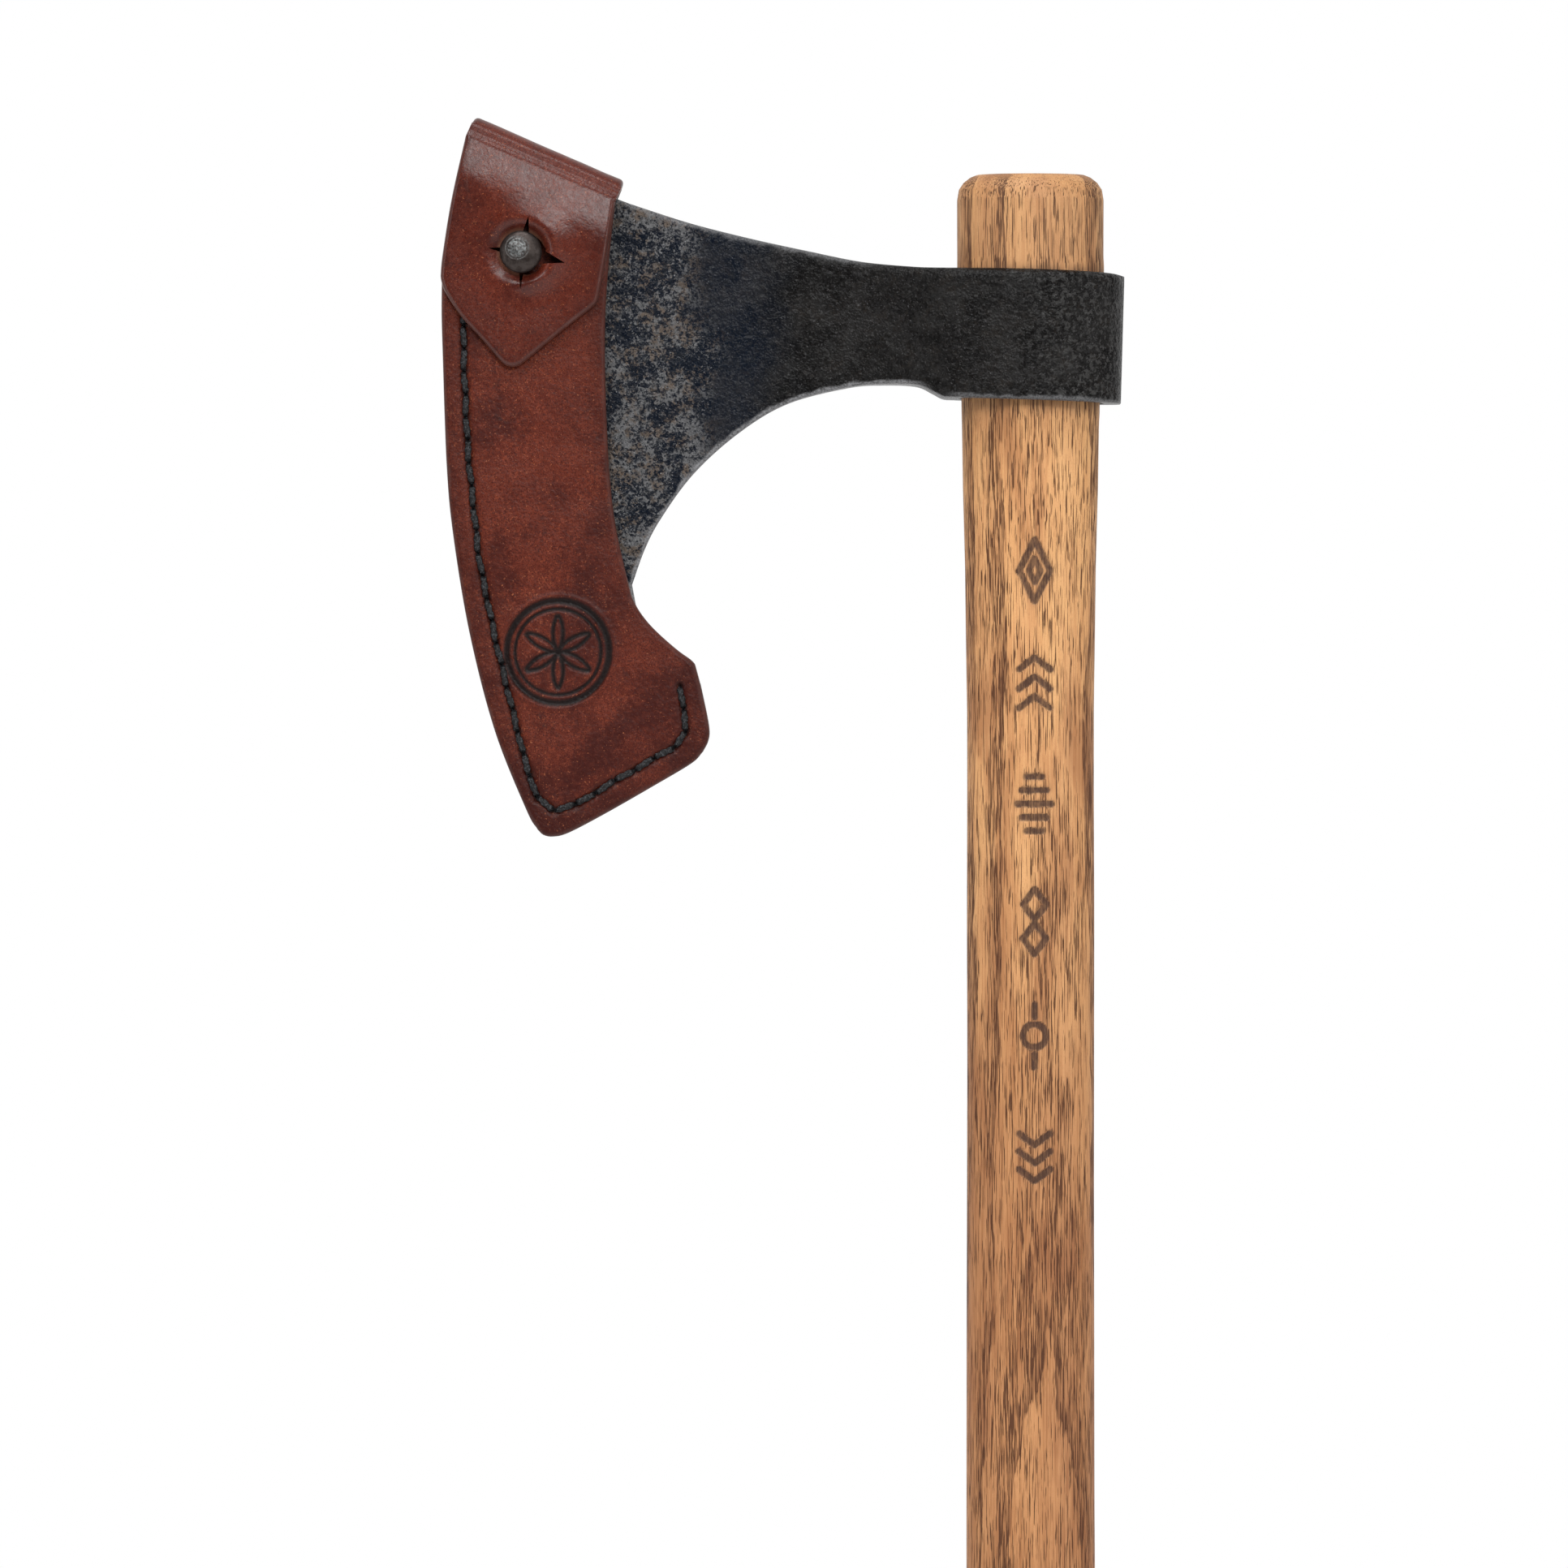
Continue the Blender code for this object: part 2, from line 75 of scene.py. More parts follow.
# Half the angle of the haft's front, whose mesh is fine enough for the marks.
FRONT_TURN = 0.55
# (height, half the width) up the haft.
HAFT_OUTLINE = [
    (0.0, 13.4), (0.9, 15.4), (3.0, 16.7), (120.0, 16.7), (250.0, 16.5), (345.0, 16.5),
    (381.0, 17.0), (402.0, 17.6), (424.0, 17.9), (458.0, 19.0), (476.5, 19.05), (479.2, 18.6),
    (481.0, 17.4), (482.4, 15.6), (483.0, 14.0),
]

# The head's outline in side view, as (x, z); its edge is inside the cover.
CUTTING_EDGE = [
    (-120.1, 324.2), (-129.2, 333.1), (-134.8, 355.0), (-138.2, 381.4), (-140.4, 405.0),
    (-141.9, 430.0), (-142.1, 456.0), (-139.7, 488.9),
]
BEARD_BACK = [(-96.4, 338.5), (-95.7, 347.0), (-99.4, 358.0), (-103.1, 377.0)]
HEAD_UNDERSIDE = [
    (-103.1, 377.0), (-99.8, 386.2), (-95.6, 394.2), (-87.2, 405.7), (-75.6, 416.2),
    (-63.0, 423.8), (-47.3, 428.0), (-37.8, 428.8), (-29.5, 428.5), (-25.4, 426.8),
    (-22.5, 425.4), (-18.9, 425.2), (0.0, 424.5), (23.2, 423.8),
]
HEAD_TOP = [
    (-103.4, 475.5), (-88.2, 470.6), (-72.5, 466.6), (-56.7, 463.1), (-44.1, 460.5),
    (-31.5, 459.1), (-22.1, 458.6), (0.0, 458.2), (18.9, 457.4), (24.2, 456.7),
]
# Rows up the beard and the neck, and the share of the cutting edge that the beard takes.
BEARD_ROWS = 44
NECK_ROWS = 92
BEARD_SHARE = 0.345
UNLIMITED = 1e3
# (x, half the thickness) along the head.
HEAD_HALF_THICKNESS = [
    (-103.0, 1.3), (-90.0, 1.8), (-72.0, 2.9), (-56.0, 4.4), (-43.0, 6.2), (-33.0, 9.3),
    (-26.0, 12.6), (-19.0, 15.4), (-10.0, 17.1), (0.0, 17.5), (9.0, 16.9), (16.0, 14.4),
    (21.0, 10.2), (24.4, 4.0),
]

# The cover: its leather's thickness, and its layers' distances from the blade's middle plane.
LEATHER = 2.6
WELT_HALF = 2.0
GRAIN_EDGE_RADIUS = 1.35
FLESH_EDGE_RADIUS = 0.35
PANEL_INNER = 2.3
PANEL_OUTER = PANEL_INNER + LEATHER
FLAP_INNER = PANEL_OUTER + 0.4
FLAP_OUTER = FLAP_INNER + LEATHER
CREST_START = np.array([-143.5, 498.3])
CREST_FALL = math.radians(23.4)
CREST_LENGTH = 42.1
FOLD_RADIUS = (PANEL_INNER + FLAP_OUTER) / 2
FOLD_AXIS_Y = (PANEL_INNER - FLAP_INNER) / 2
ALONG_CREST = np.array([math.cos(CREST_FALL), -math.sin(CREST_FALL)])
ACROSS_CREST = np.array([math.sin(CREST_FALL), math.cos(CREST_FALL)])
FOLD_ROOT = CREST_START - ACROSS_CREST * (FOLD_RADIUS + LEATHER / 2)
FOLD_ROOT_END = FOLD_ROOT + ALONG_CREST * CREST_LENGTH

# The leather pieces' outlines in side view, as (x, z).
COVER_EDGE_SIDE = [
    tuple(FOLD_ROOT), (-149.7, 475.9), (-151.8, 463.3), (-152.3, 450.0), (-152.0, 436.0),
    (-151.0, 408.0), (-149.3, 389.8), (-145.1, 364.6), (-138.6, 339.4), (-130.4, 318.8),
    (-127.4, 313.6),
]
COVER_BOTTOM = [
    (-127.4, 313.6), (-125.9, 312.3), (-123.4, 311.9), (-119.5, 312.9), (-110.3, 317.7),
    (-97.7, 324.9), (-87.8, 330.8), (-84.8, 333.8),
]
COVER_HAFT_SIDE = [
    (-84.8, 333.8), (-83.4, 336.6), (-83.1, 340.0), (-84.6, 347.8), (-86.4, 355.0),
    (-87.4, 357.2), (-91.4, 360.2), (-96.4, 364.6), (-99.8, 368.3), (-102.3, 372.2),
    (-103.9, 377.0), (-107.6, 394.0), (-109.2, 410.8), (-110.0, 432.0), (-109.9, 448.0),
    (-108.8, 463.3), tuple(FOLD_ROOT_END),
]
WELT_INNER = [
    (-93.2, 351.5), (-93.6, 341.5), (-95.0, 337.4), (-118.0, 322.6), (-124.0, 323.6),
    (-131.0, 334.5), (-136.5, 355.0), (-139.9, 381.4), (-142.4, 410.8), (-143.7, 437.0),
    (-143.4, 468.0), (-141.4, 487.6),
]
FLAP_EDGE_SIDE = [
    tuple(FOLD_ROOT), (-149.7, 475.9), (-151.8, 463.3), (-152.4, 458.0), (-152.3, 455.4),
    (-151.0, 452.0), (-147.2, 446.2), (-141.6, 440.0), (-137.2, 434.9), (-135.6, 433.6),
    (-134.2, 433.2),
]
FLAP_LOWER_SIDE = [
    (-134.2, 433.2), (-132.8, 433.4), (-130.6, 434.7), (-121.5, 442.2), (-113.2, 448.7),
    (-112.0, 450.3), (-111.4, 452.4),
]
FLAP_HAFT_SIDE = [(-111.4, 452.4), (-109.8, 461.2), tuple(FOLD_ROOT_END)]

SEAM_LINE = [
    (-143.0, 485.0), (-144.9, 475.0), (-146.4, 460.0), (-146.6, 436.0), (-145.5, 411.4),
    (-142.6, 383.5), (-138.4, 363.0), (-131.0, 332.4), (-127.6, 321.8), (-124.0, 318.7),
    (-120.0, 318.8), (-105.6, 327.4), (-88.8, 337.0), (-90.6, 350.7),
]
STITCH_PITCH = 5.9
STUD_CENTRE = np.array([-131.7, 462.8])
STUD_RADIUS = 5.45
ROSETTE_CENTRE = np.array([-122.2, 359.6])
ROSETTE_RADIUS = 13.2
# The burnt marks down the haft: the height of each one's middle.
MARK_HEIGHTS = [380.5, 350.1, 320.4, 290.1, 260.6, 230.2]
MARK_CENTRE_X = 0.8
MARK_WIDTH = 1.8
MARK_REACH = 14.0
# The wood's figure: the top of its arch, and how far apart the growth rings are.
RING_ARCH = (4.4, 177.5)
RING_STEP = 2.9


# ------------------------ small tools


def value_noise(points, size, seed):
    """Smooth noise from -1 to 1 at N x 3 points, with features of this size in millimetres."""
    spot = np.asarray(points, float) / size + seed * 17.31
    cell = np.floor(spot).astype(np.int64)
    part = spot - cell
    part = part * part * (3.0 - 2.0 * part)
    total = np.zeros(len(spot))
    for corner in np.ndindex(2, 2, 2):
        near = cell + np.array(corner)
        key = near[:, 0] * 73856093 ^ near[:, 1] * 19349663 ^ near[:, 2] * 83492791
        key = (key ^ (key >> 13)) * 1274126177
        value = ((key ^ (key >> 16)) & 0xFFFF) / 32767.5 - 1.0
        total += value * np.prod(np.where(corner, part, 1.0 - part), axis=1)
    return total


def fractal_noise(points, size, seed, octaves):
    total = np.zeros(len(points))
    for octave in range(octaves):
        total += value_noise(points, size / 2**octave, seed + octave) / 2**octave
    return total


def smooth_line(points, steps=16):
    """A dense Catmull-Rom curve through these points."""
    line = np.array(points, float)
    line = np.vstack([2 * line[0] - line[1], line, 2 * line[-1] - line[-2]])
    share = np.linspace(0.0, 1.0, steps, endpoint=False)[:, None]
    pieces = []
    for a, b, c, d in zip(line, line[1:], line[2:], line[3:]):
        bend = (2 * a - 5 * b + 4 * c - d) * share**2 + (3 * b - a - 3 * c + d) * share**3
        pieces.append(0.5 * (2 * b + (c - a) * share + bend))
    return np.vstack(pieces + [line[-2:-1]])


def along(line, shares):
    """The points at these shares of a line's length."""
    steps = np.linalg.norm(np.diff(line, axis=0), axis=1)
    lengths = np.concatenate([[0.0], np.cumsum(steps)])
    wanted = np.asarray(shares) * lengths[-1]
    return np.stack([np.interp(wanted, lengths, line[:, axis]) for axis in range(line.shape[1])], 1)


def spread(count, busy=(0.0, 0.0), extra=0.0):
    """Shares from 0 to 1 that stand closer together at both ends and in the busy stretch."""
    share = np.linspace(0.0, 1.0, 3000)
    low, high = busy
    density = 1.0 + 2.5 * (np.exp(-share / 0.02) + np.exp((share - 1.0) / 0.02))
    density += extra * ease(low - 0.04, low, share) * (1.0 - ease(high, high + 0.04, share))
    total = np.cumsum(density)
    total = (total - total[0]) / (total[-1] - total[0])
    return np.interp(np.linspace(0.0, 1.0, count), total, share)


def coons(left, right, bottom, top, across, up):
    """A patch between four sides; left and right run upwards, bottom and top to the right."""
    left = along(left, up)[:, None, :]
    right = along(right, up)[:, None, :]
    bottom = along(bottom, across)[None, :, :]
    top = along(top, across)[None, :, :]
    u = np.asarray(across)[None, :, None]
    v = np.asarray(up)[:, None, None]
    corners = (1 - v) * ((1 - u) * bottom[:, :1] + u * bottom[:, -1:])
    corners = corners + v * ((1 - u) * top[:, :1] + u * top[:, -1:])
    return (1 - u) * left + u * right + (1 - v) * bottom + v * top - corners


def distance_to_line(points, line):
    """How far each 2-D point is from a line of straight runs."""
    best = np.full(len(points), np.inf)
    for start, end in zip(line, line[1:]):
        run = end - start
        share = ((points - start) @ run / max(run @ run, 1e-9)).clip(0.0, 1.0)
        gap = points - start - share[:, None] * run
        best = np.minimum(best, np.einsum("ij,ij->i", gap, gap))
    return np.sqrt(best)


def ease(low, high, values):
    share = ((values - low) / (high - low)).clip(0.0, 1.0)
    return share * share * (3.0 - 2.0 * share)


def bell(distance, width):
    """1 at no distance, falling away to both sides."""
    return np.exp(-((distance / width) ** 2))


def whole_turn(count):
    """This many angles, evenly round a circle."""
    return np.linspace(0.0, 2 * math.pi, count + 1)[:-1]


def rounded_edge(distance, radius):
    """How much lower a surface lies this far from an edge rounded to this radius."""
    inside = np.minimum(distance, radius)
    return radius - np.sqrt(np.maximum(radius**2 - (radius - inside) ** 2, 0.0))


def upright(flat, y):
    """Side-view points stood up at this place along Y."""
    return np.stack([flat[..., 0], np.broadcast_to(y, flat.shape[:-1]), flat[..., 1]], -1)


def side_view(points):
    """The (x, z) of each point."""
    return points[:, [0, 2]]


def grid_faces(rows, columns, start=0, closed=False):
    faces = []
    last = columns if closed else columns - 1
    for row in range(rows - 1):
        for column in range(last):
            a = start + row * columns + column
            b = start + row * columns + (column + 1) % columns
            faces.append((a, b, b + columns, a + columns))
    return faces


def tube_faces(rings, count):
    """Faces of a tube of rings with this many points each, closed by a cap at each end."""
    last = (rings - 1) * count
    caps = [tuple(range(count)), tuple(range(last, last + count))]
    return grid_faces(rings, count, 0, closed=True) + caps


def shell_faces(rows, columns):
    """Faces of a closed sheet: one grid, a second behind it, and the rim between them."""
    count = rows * columns
    faces = grid_faces(rows, columns)
    faces += [tuple(index + count for index in reversed(face)) for face in faces]
    rim = list(range(columns)) + [row * columns + columns - 1 for row in range(1, rows)]
    rim += [(rows - 1) * columns + column for column in range(columns - 2, -1, -1)]
    rim += [row * columns for row in range(rows - 2, 0, -1)]
    for a, b in zip(rim, rim[1:] + rim[:1]):
        faces.append((b, a, a + count, b + count))
    return faces


def new_object(name, points, faces, sharp_degrees=40.0):
    """A smooth-shaded mesh object from millimetre points, its faces turned outwards."""
    mesh = bpy.data.meshes.new(name)
    mesh.from_pydata((np.asarray(points, float) * MM).tolist(), [], faces)
    solid = bmesh.new()
    solid.from_mesh(mesh)
    bmesh.ops.recalc_face_normals(solid, faces=solid.faces)
    solid.to_mesh(mesh)
    solid.free()
    obj = bpy.data.objects.new(name, mesh)
    bpy.context.scene.collection.objects.link(obj)
    mesh.shade_smooth()
    mesh.set_sharp_from_angle(angle=math.radians(sharp_degrees))
    return obj


def cut_through(obj, cutter, sharp_degrees=40.0):
    """Cut one closed mesh with another and drop the cutter."""
    boolean = obj.modifiers.new("cut", "BOOLEAN")
    boolean.operation = "DIFFERENCE"
    boolean.solver = "MANIFOLD"
    boolean.object = cutter
    bpy.context.view_layer.update()
    depsgraph = bpy.context.evaluated_depsgraph_get()
    mesh = bpy.data.meshes.new_from_object(obj.evaluated_get(depsgraph))
    obj.modifiers.clear()
    mesh.materials.clear()
    obj.data = mesh
    bpy.data.objects.remove(cutter, do_unlink=True)
    mesh.shade_smooth()
    mesh.set_sharp_from_angle(angle=math.radians(sharp_degrees))


def places(obj):
    """The vertices of a mesh object, in millimetres."""
    flat = np.empty(len(obj.data.vertices) * 3)
    obj.data.vertices.foreach_get("co", flat)
    return flat.reshape(-1, 3) / MM


def store(obj, name, values):
    """Keep one number per vertex for the material to read."""
    attribute = obj.data.attributes.new(name, "FLOAT", "POINT")
    attribute.data.foreach_set("value", np.ascontiguousarray(values, dtype=np.float32))


# ------------------------ materials


class Field:
    """A value that a node tree works out at each point; +, - and * add Math nodes."""

    def __init__(self, tree, socket):
        self.tree = tree
        self.socket = socket

    def calc(self, operation, other=0.0):
        return node(self.tree, "Math", {0: self, 1: other}, operation=operation)

    def __add__(self, other):
        return self.calc("ADD", other)

    def __sub__(self, other):
        return self.calc("SUBTRACT", other)

    def __mul__(self, other):
        return self.calc("MULTIPLY", other)

    def remap(self, low, high, new_low=0.0, new_high=1.0, kind="SMOOTHSTEP"):
        inputs = {"Value": self, "From Min": low, "From Max": high}
        inputs.update({"To Min": new_low, "To Max": new_high})
        return node(self.tree, "MapRange", inputs, interpolation_type=kind)


def node(tree, kind, inputs, output=0, **settings):
    """Add a shader node, set or link its inputs and return one of its outputs."""
    made = tree.nodes.new("ShaderNode" + kind)
    for key, value in settings.items():
        setattr(made, key, value)
    for key, value in inputs.items():
        if isinstance(value, Field):
            tree.links.new(value.socket, made.inputs[key])
        else:
            made.inputs[key].default_value = value
    return Field(tree, made.outputs[output])


def coordinates(tree, stretch=(1.0, 1.0, 1.0)):
    """Object coordinates in millimetres, scaled along each axis."""
    scale = tuple(factor / MM for factor in stretch)
    return node(tree, "Mapping", {"Vector": node(tree, "TexCoord", {}, "Object"), "Scale": scale})


def coordinate(tree, axis):
    """One object coordinate in millimetres."""
    return node(tree, "SeparateXYZ", {0: coordinates(tree)}, axis)


def stored(tree, name):
    return node(tree, "Attribute", {}, "Fac", attribute_name=name)


def noise(vector, scale, detail=3.0, roughness=0.55, distortion=0.0):
    inputs = {"Vector": vector, "Scale": scale, "Detail": detail}
    inputs.update({"Roughness": roughness, "Distortion": distortion})
    return node(vector.tree, "TexNoise", inputs)


def grain(tree, across, up, detail, roughness=0.55, distortion=0.0):
    """Noise drawn out up the haft; across and up are how fine it is per millimetre."""
    return noise(coordinates(tree, (across, across, up)), 1.0, detail, roughness, distortion)


def cells(vector, scale, feature="F1"):
    inputs = {"Vector": vector, "Scale": scale}
    return node(vector.tree, "TexVoronoi", inputs, "Distance", feature=feature)


def mix(share, first, second):
    """Two colours, plain or worked out, mixed by a share."""
    inputs = {0: share}
    for key, colour in ((6, first), (7, second)):
        inputs[key] = (*colour, 1.0) if isinstance(colour, tuple) else colour
    return node(share.tree, "Mix", inputs, 2, data_type="RGBA")


def painted(colour, layers):
    """A colour with layers over it, each a share and a colour."""
    for share, tint in layers:
        colour = mix(share, colour, tint)
    return colour


def new_material(name, metallic, specular):
    material = bpy.data.materials.new(name)
    material.use_nodes = True
    tree = material.node_tree
    shader = tree.nodes["Principled BSDF"]
    shader.inputs["Metallic"].default_value = metallic
    shader.inputs["Specular IOR Level"].default_value = specular
    return material, tree, shader


def finish_material(shader, colour, roughness, height, depth):
    """Link the colour and roughness, and a relief this many millimetres deep."""
    tree = colour.tree
    normal = node(tree, "Bump", {"Height": height, "Distance": depth * MM, "Strength": 1.0})
    for name, value in (("Base Color", colour), ("Roughness", roughness), ("Normal", normal)):
        tree.links.new(value.socket, shader.inputs[name])


def wood_material():
    """Oiled, lightly scorched hickory: a cathedral of rings with rows of dark pores along them."""
    material, tree, shader = new_material("oiled_hickory", 0.0, 0.22)
    wide = grain(tree, 0.13, 0.02, 3.0, 0.5, 0.2)
    jitter = grain(tree, 0.9, 0.12, 2.0, 0.5)
    wander = (wide - 0.5) * 0.75 + (jitter - 0.5) * 0.10
    ring = (stored(tree, "ring") + wander + 8.0).calc("FRACT")
    line = ring.remap(0.0, 0.11, 1.0, 0.0).calc("MAXIMUM", ring.remap(0.985, 1.0))
    early = ring.remap(0.12, 0.66, 1.0, 0.0)

    fibre = grain(tree, 2.8, 0.05, 4.0, 0.6)
    weave = grain(tree, 3.2, 2.2, 2.0, 0.6)
    lift = early * 0.085 + grain(tree, 0.17, 0.022, 3.0, 0.6) * 0.27
    pores = (grain(tree, 3.9, 0.11, 2.0, 0.5, 0.10) + lift).remap(0.712, 0.748)
    streaks = grain(tree, 1.1, 0.02, 3.0, 0.6, 0.2).remap(0.56, 0.72)
    patch = grain(tree, 0.075, 0.017, 4.0, 0.6, 0.5)
    smudge = grain(tree, 0.30, 0.16, 4.0, 0.65).remap(0.55, 0.75)
    line_share = line * fibre.remap(0.36, 0.60, 0.30, 1.0) * 0.72
    pore_share = pores * 0.92
    char = grain(tree, 1.6, 0.6, 3.0).remap(0.3, 0.7, 0.80, 1.0)

    low = coordinate(tree, 2).remap(345.0, 195.0)
    fresh = mix(low, (0.515, 0.278, 0.114), (0.375, 0.176, 0.071))
    brown = mix(low, (0.415, 0.198, 0.078), (0.250, 0.102, 0.038))
    pale = mix(low, (0.565, 0.318, 0.142), (0.465, 0.232, 0.100))
    layers = [
        (fibre.remap(0.35, 0.70, 0.0, 0.6), pale),
        (patch.remap(0.50, 0.68) * 0.50, (0.190, 0.066, 0.024)),
        (smudge * 0.24, (0.170, 0.070, 0.030)),
        (weave.remap(0.50, 0.75, 0.0, 0.30), (0.270, 0.120, 0.050)),
        (streaks * 0.45, (0.190, 0.074, 0.028)),
        (early * 0.22, (0.220, 0.088, 0.034)),
        (line_share, (0.075, 0.024, 0.009)),
        (pore_share, (0.052, 0.017, 0.0065)),
        (stored(tree, "end_grain") * early, (0.30, 0.145, 0.065)),
        (stored(tree, "halo") * 0.40, (0.20, 0.09, 0.04)),
        (stored(tree, "burn") * char, (0.052, 0.024, 0.014)),
        # Darker in a band at each mouth of the eye and over the top above the head.
        (stored(tree, "darker_near_eye") * 0.6, (0.10, 0.058, 0.036)),
    ]
    colour = painted(mix(patch.remap(0.34, 0.56), fresh, brown), layers)
    height = fibre * 0.35 - pore_share * 0.9 - line_share * 0.4 + weave * 0.20
    roughness = pore_share.remap(0.0, 1.0, 0.50, 0.75, "LINEAR")
    finish_material(shader, colour, roughness, height, 0.14)
    return material


def steel_material():
    """Forged steel, blackened: blue-black with pale scale on the blade, near black at the eye, with
    painted glints over the eye.
    """
    material, tree, shader = new_material("blackened_steel", 0.0, 0.075)
    spot = coordinates(tree)
    blade = stored(tree, "blade")
    large = noise(spot, 0.10, 4.0, 0.6, 0.3)
    blots = noise(spot, 0.95, 7.0, 0.74, 0.4)
    fine = noise(spot, 1.8, 5.0, 0.75)
    pits = cells(spot, 1.05)
    dark = mix(large.remap(0.38, 0.62), (0.0024, 0.0021, 0.0020), (0.0064, 0.0058, 0.0054))
    blue = mix(large.remap(0.40, 0.62), (0.0018, 0.0036, 0.0078), (0.0052, 0.0062, 0.0096))
    pale = (blots + (large - 0.5) * 0.55).remap(0.470, 0.550)
    pale = pale * blade.remap(0.0, 1.0, 0.07, 1.0, "LINEAR") * pits.remap(0.14, 0.46, 0.05, 1.0)
    brown = noise(spot, 0.30, 3.0, 0.6).remap(0.45, 0.62)
    # Painted glints: light grey specks over the eye, stronger towards its right side as a painted
    # sheen.
    glints_towards_right = coordinate(tree, 0).remap(-14.0, 20.0, 0.15, 1.0)
    painted_glints = noise(spot, 0.80, 2.0, 0.65).remap(0.50, 0.60)
    flecks = noise(spot, 2.1, 3.0, 0.6).remap(0.635, 0.700)
    layers = [
        (pale, mix(brown, (0.080, 0.080, 0.082), (0.070, 0.054, 0.043))),
        (fine.remap(0.53, 0.62, 0.0, 0.55), (0.0024, 0.0026, 0.0032)),
        # Painted glints on the eye.
        (painted_glints * glints_towards_right, (0.0270, 0.0262, 0.0255)),
        (flecks * blade.remap(0.0, 1.0, 0.25, 0.85, "LINEAR"), (0.17, 0.17, 0.175)),
        (stored(tree, "worn") * fine.remap(0.38, 0.58, 0.35, 1.0), (0.16, 0.16, 0.165)),
        (stored(tree, "bright"), (0.30, 0.30, 0.31)),
    ]
    colour = painted(mix(stored(tree, "blue"), dark, blue), layers)
    hammered = noise(spot, 0.55, 2.0, 0.55, 0.3)
    grit = noise(spot, 1.5, 1.0, 0.5)
    height = hammered * 1.5 + grit * 0.50 + pits.remap(0.08, 0.40) * 0.22
    roughness = fine.remap(0.38, 0.60, 0.20, 0.34, "LINEAR")
    finish_material(shader, colour, roughness, height, 0.50)
    return material


def leather_material(name, base, dark, light, gloss, shine, relief_depth):
    """Dyed veg-tan leather: clouded dye, a fine grain, short scratches and burnished edges
    lightened with a painted reflection.
    """
    material, tree, shader = new_material(name, 0.0, shine)
    spot = coordinates(tree)
    height = coordinate(tree, 2)
    cloud = noise(spot, 0.06, 5.0, 0.62, 0.3)
    # The cloud also rises with height from z 330 to 430 and drops slightly from 435 to 465, so the
    # leather is lighter high on the cover and darker low down.
    cloud = cloud + height.remap(330.0, 430.0, -0.05, 0.12) - height.remap(435.0, 465.0, 0.0, 0.03)
    mottle = noise(spot, 0.80, 6.0, 0.72, 0.2)
    speck = noise(spot, 2.8, 3.0, 0.65)
    lighter = mottle.remap(0.46, 0.66, 0.0, 0.70) * cloud.remap(0.40, 0.60, 0.35, 1.0)
    dust = noise(spot, 1.9, 3.0, 0.6).remap(0.63, 0.69)
    blotches = noise(spot, 0.17, 4.0, 0.65).remap(0.60, 0.76)
    slant = {"Vector": spot, "Rotation": (0.0, 0.5, 0.0), "Scale": (1.3, 1.3, 0.10)}
    scratches = noise(node(tree, "Mapping", slant), 1.0, 2.0, 0.5, 1.2).remap(0.745, 0.775)
    shade = stored(tree, "shade") * mottle.remap(0.35, 0.60, 0.75, 1.0)
    edge = stored(tree, "edge") * speck.remap(0.35, 0.65, 0.55, 1.0)
    layers = [
        (lighter, light),
        (speck.remap(0.48, 0.60, 0.0, 0.85), dark),
        (dust * 0.60, (0.28, 0.088, 0.038)),
        (scratches * 0.20, (0.24, 0.12, 0.09)),
        (blotches * 0.65, (0.016, 0.0055, 0.0050)),
        (shade * 0.55, (0.020, 0.0040, 0.0030)),
        # Burnished edges, lightened to a pinkish grey as a painted reflection along the bevels.
        (edge * 0.55, (0.085, 0.0400, 0.0340)),
        # Near black in the tooled lines and awl holes: the leather darkened by tooling, with
        # painted shade in these hollows.
        (stored(tree, "pressed_and_shaded") * 0.96, (0.0030, 0.0018, 0.0018)),
        (stored(tree, "raw"), mix(mottle, (0.10, 0.044, 0.028), (0.17, 0.088, 0.056))),
    ]
    colour = painted(mix(cloud.remap(0.38, 0.66), dark, base), layers)
    pebbles = cells(spot, 1.5, "SMOOTH_F1")
    relief = noise(spot, 0.9, 2.0, 0.6) * 0.80 - pebbles * 0.25 - scratches * 0.3
    roughness = mottle.remap(0.35, 0.65, gloss, gloss + 0.10, "LINEAR")
    finish_material(shader, colour, roughness, relief, relief_depth)
    return material


def thread_material():
    """Black waxed thread; the grey in its colour is painted glints."""
    material, tree, shader = new_material("waxed_thread", 0.0, 0.20)
    fuzz = noise(coordinates(tree), 2.4, 4.0, 0.70)
    # Near black, with painted grey glints where the noise is high.
    colour = mix(fuzz.remap(0.50, 0.62), (0.0016, 0.0016, 0.0019), (0.036, 0.038, 0.042))
    finish_material(shader, colour, fuzz.remap(0.3, 0.7, 0.26, 0.50, "LINEAR"), fuzz, 0.22)
    return material


def stud_material():
    """Gunmetal plate, rubbed to the steel where it is marked worn."""
    material, tree, shader = new_material("gunmetal", 0.85, 0.5)
    spot = coordinates(tree)
    cloud = noise(spot, 0.7, 4.0, 0.65).remap(0.35, 0.65)
    fine = noise(spot, 5.0, 3.0, 0.6)
    worn = stored(tree, "worn") * noise(spot, 2.0, 3.0, 0.6).remap(0.40, 0.58, 0.15, 1.0)
    plate = mix(cloud, (0.021, 0.0150, 0.0132), (0.042, 0.0335, 0.0305))
    colour = mix(worn, plate, (0.105, 0.110, 0.110))
    finish_material(shader, colour, fine.remap(0.3, 0.7, 0.38, 0.52, "LINEAR"), fine, 0.03)
    return material


# ------------------------ haft


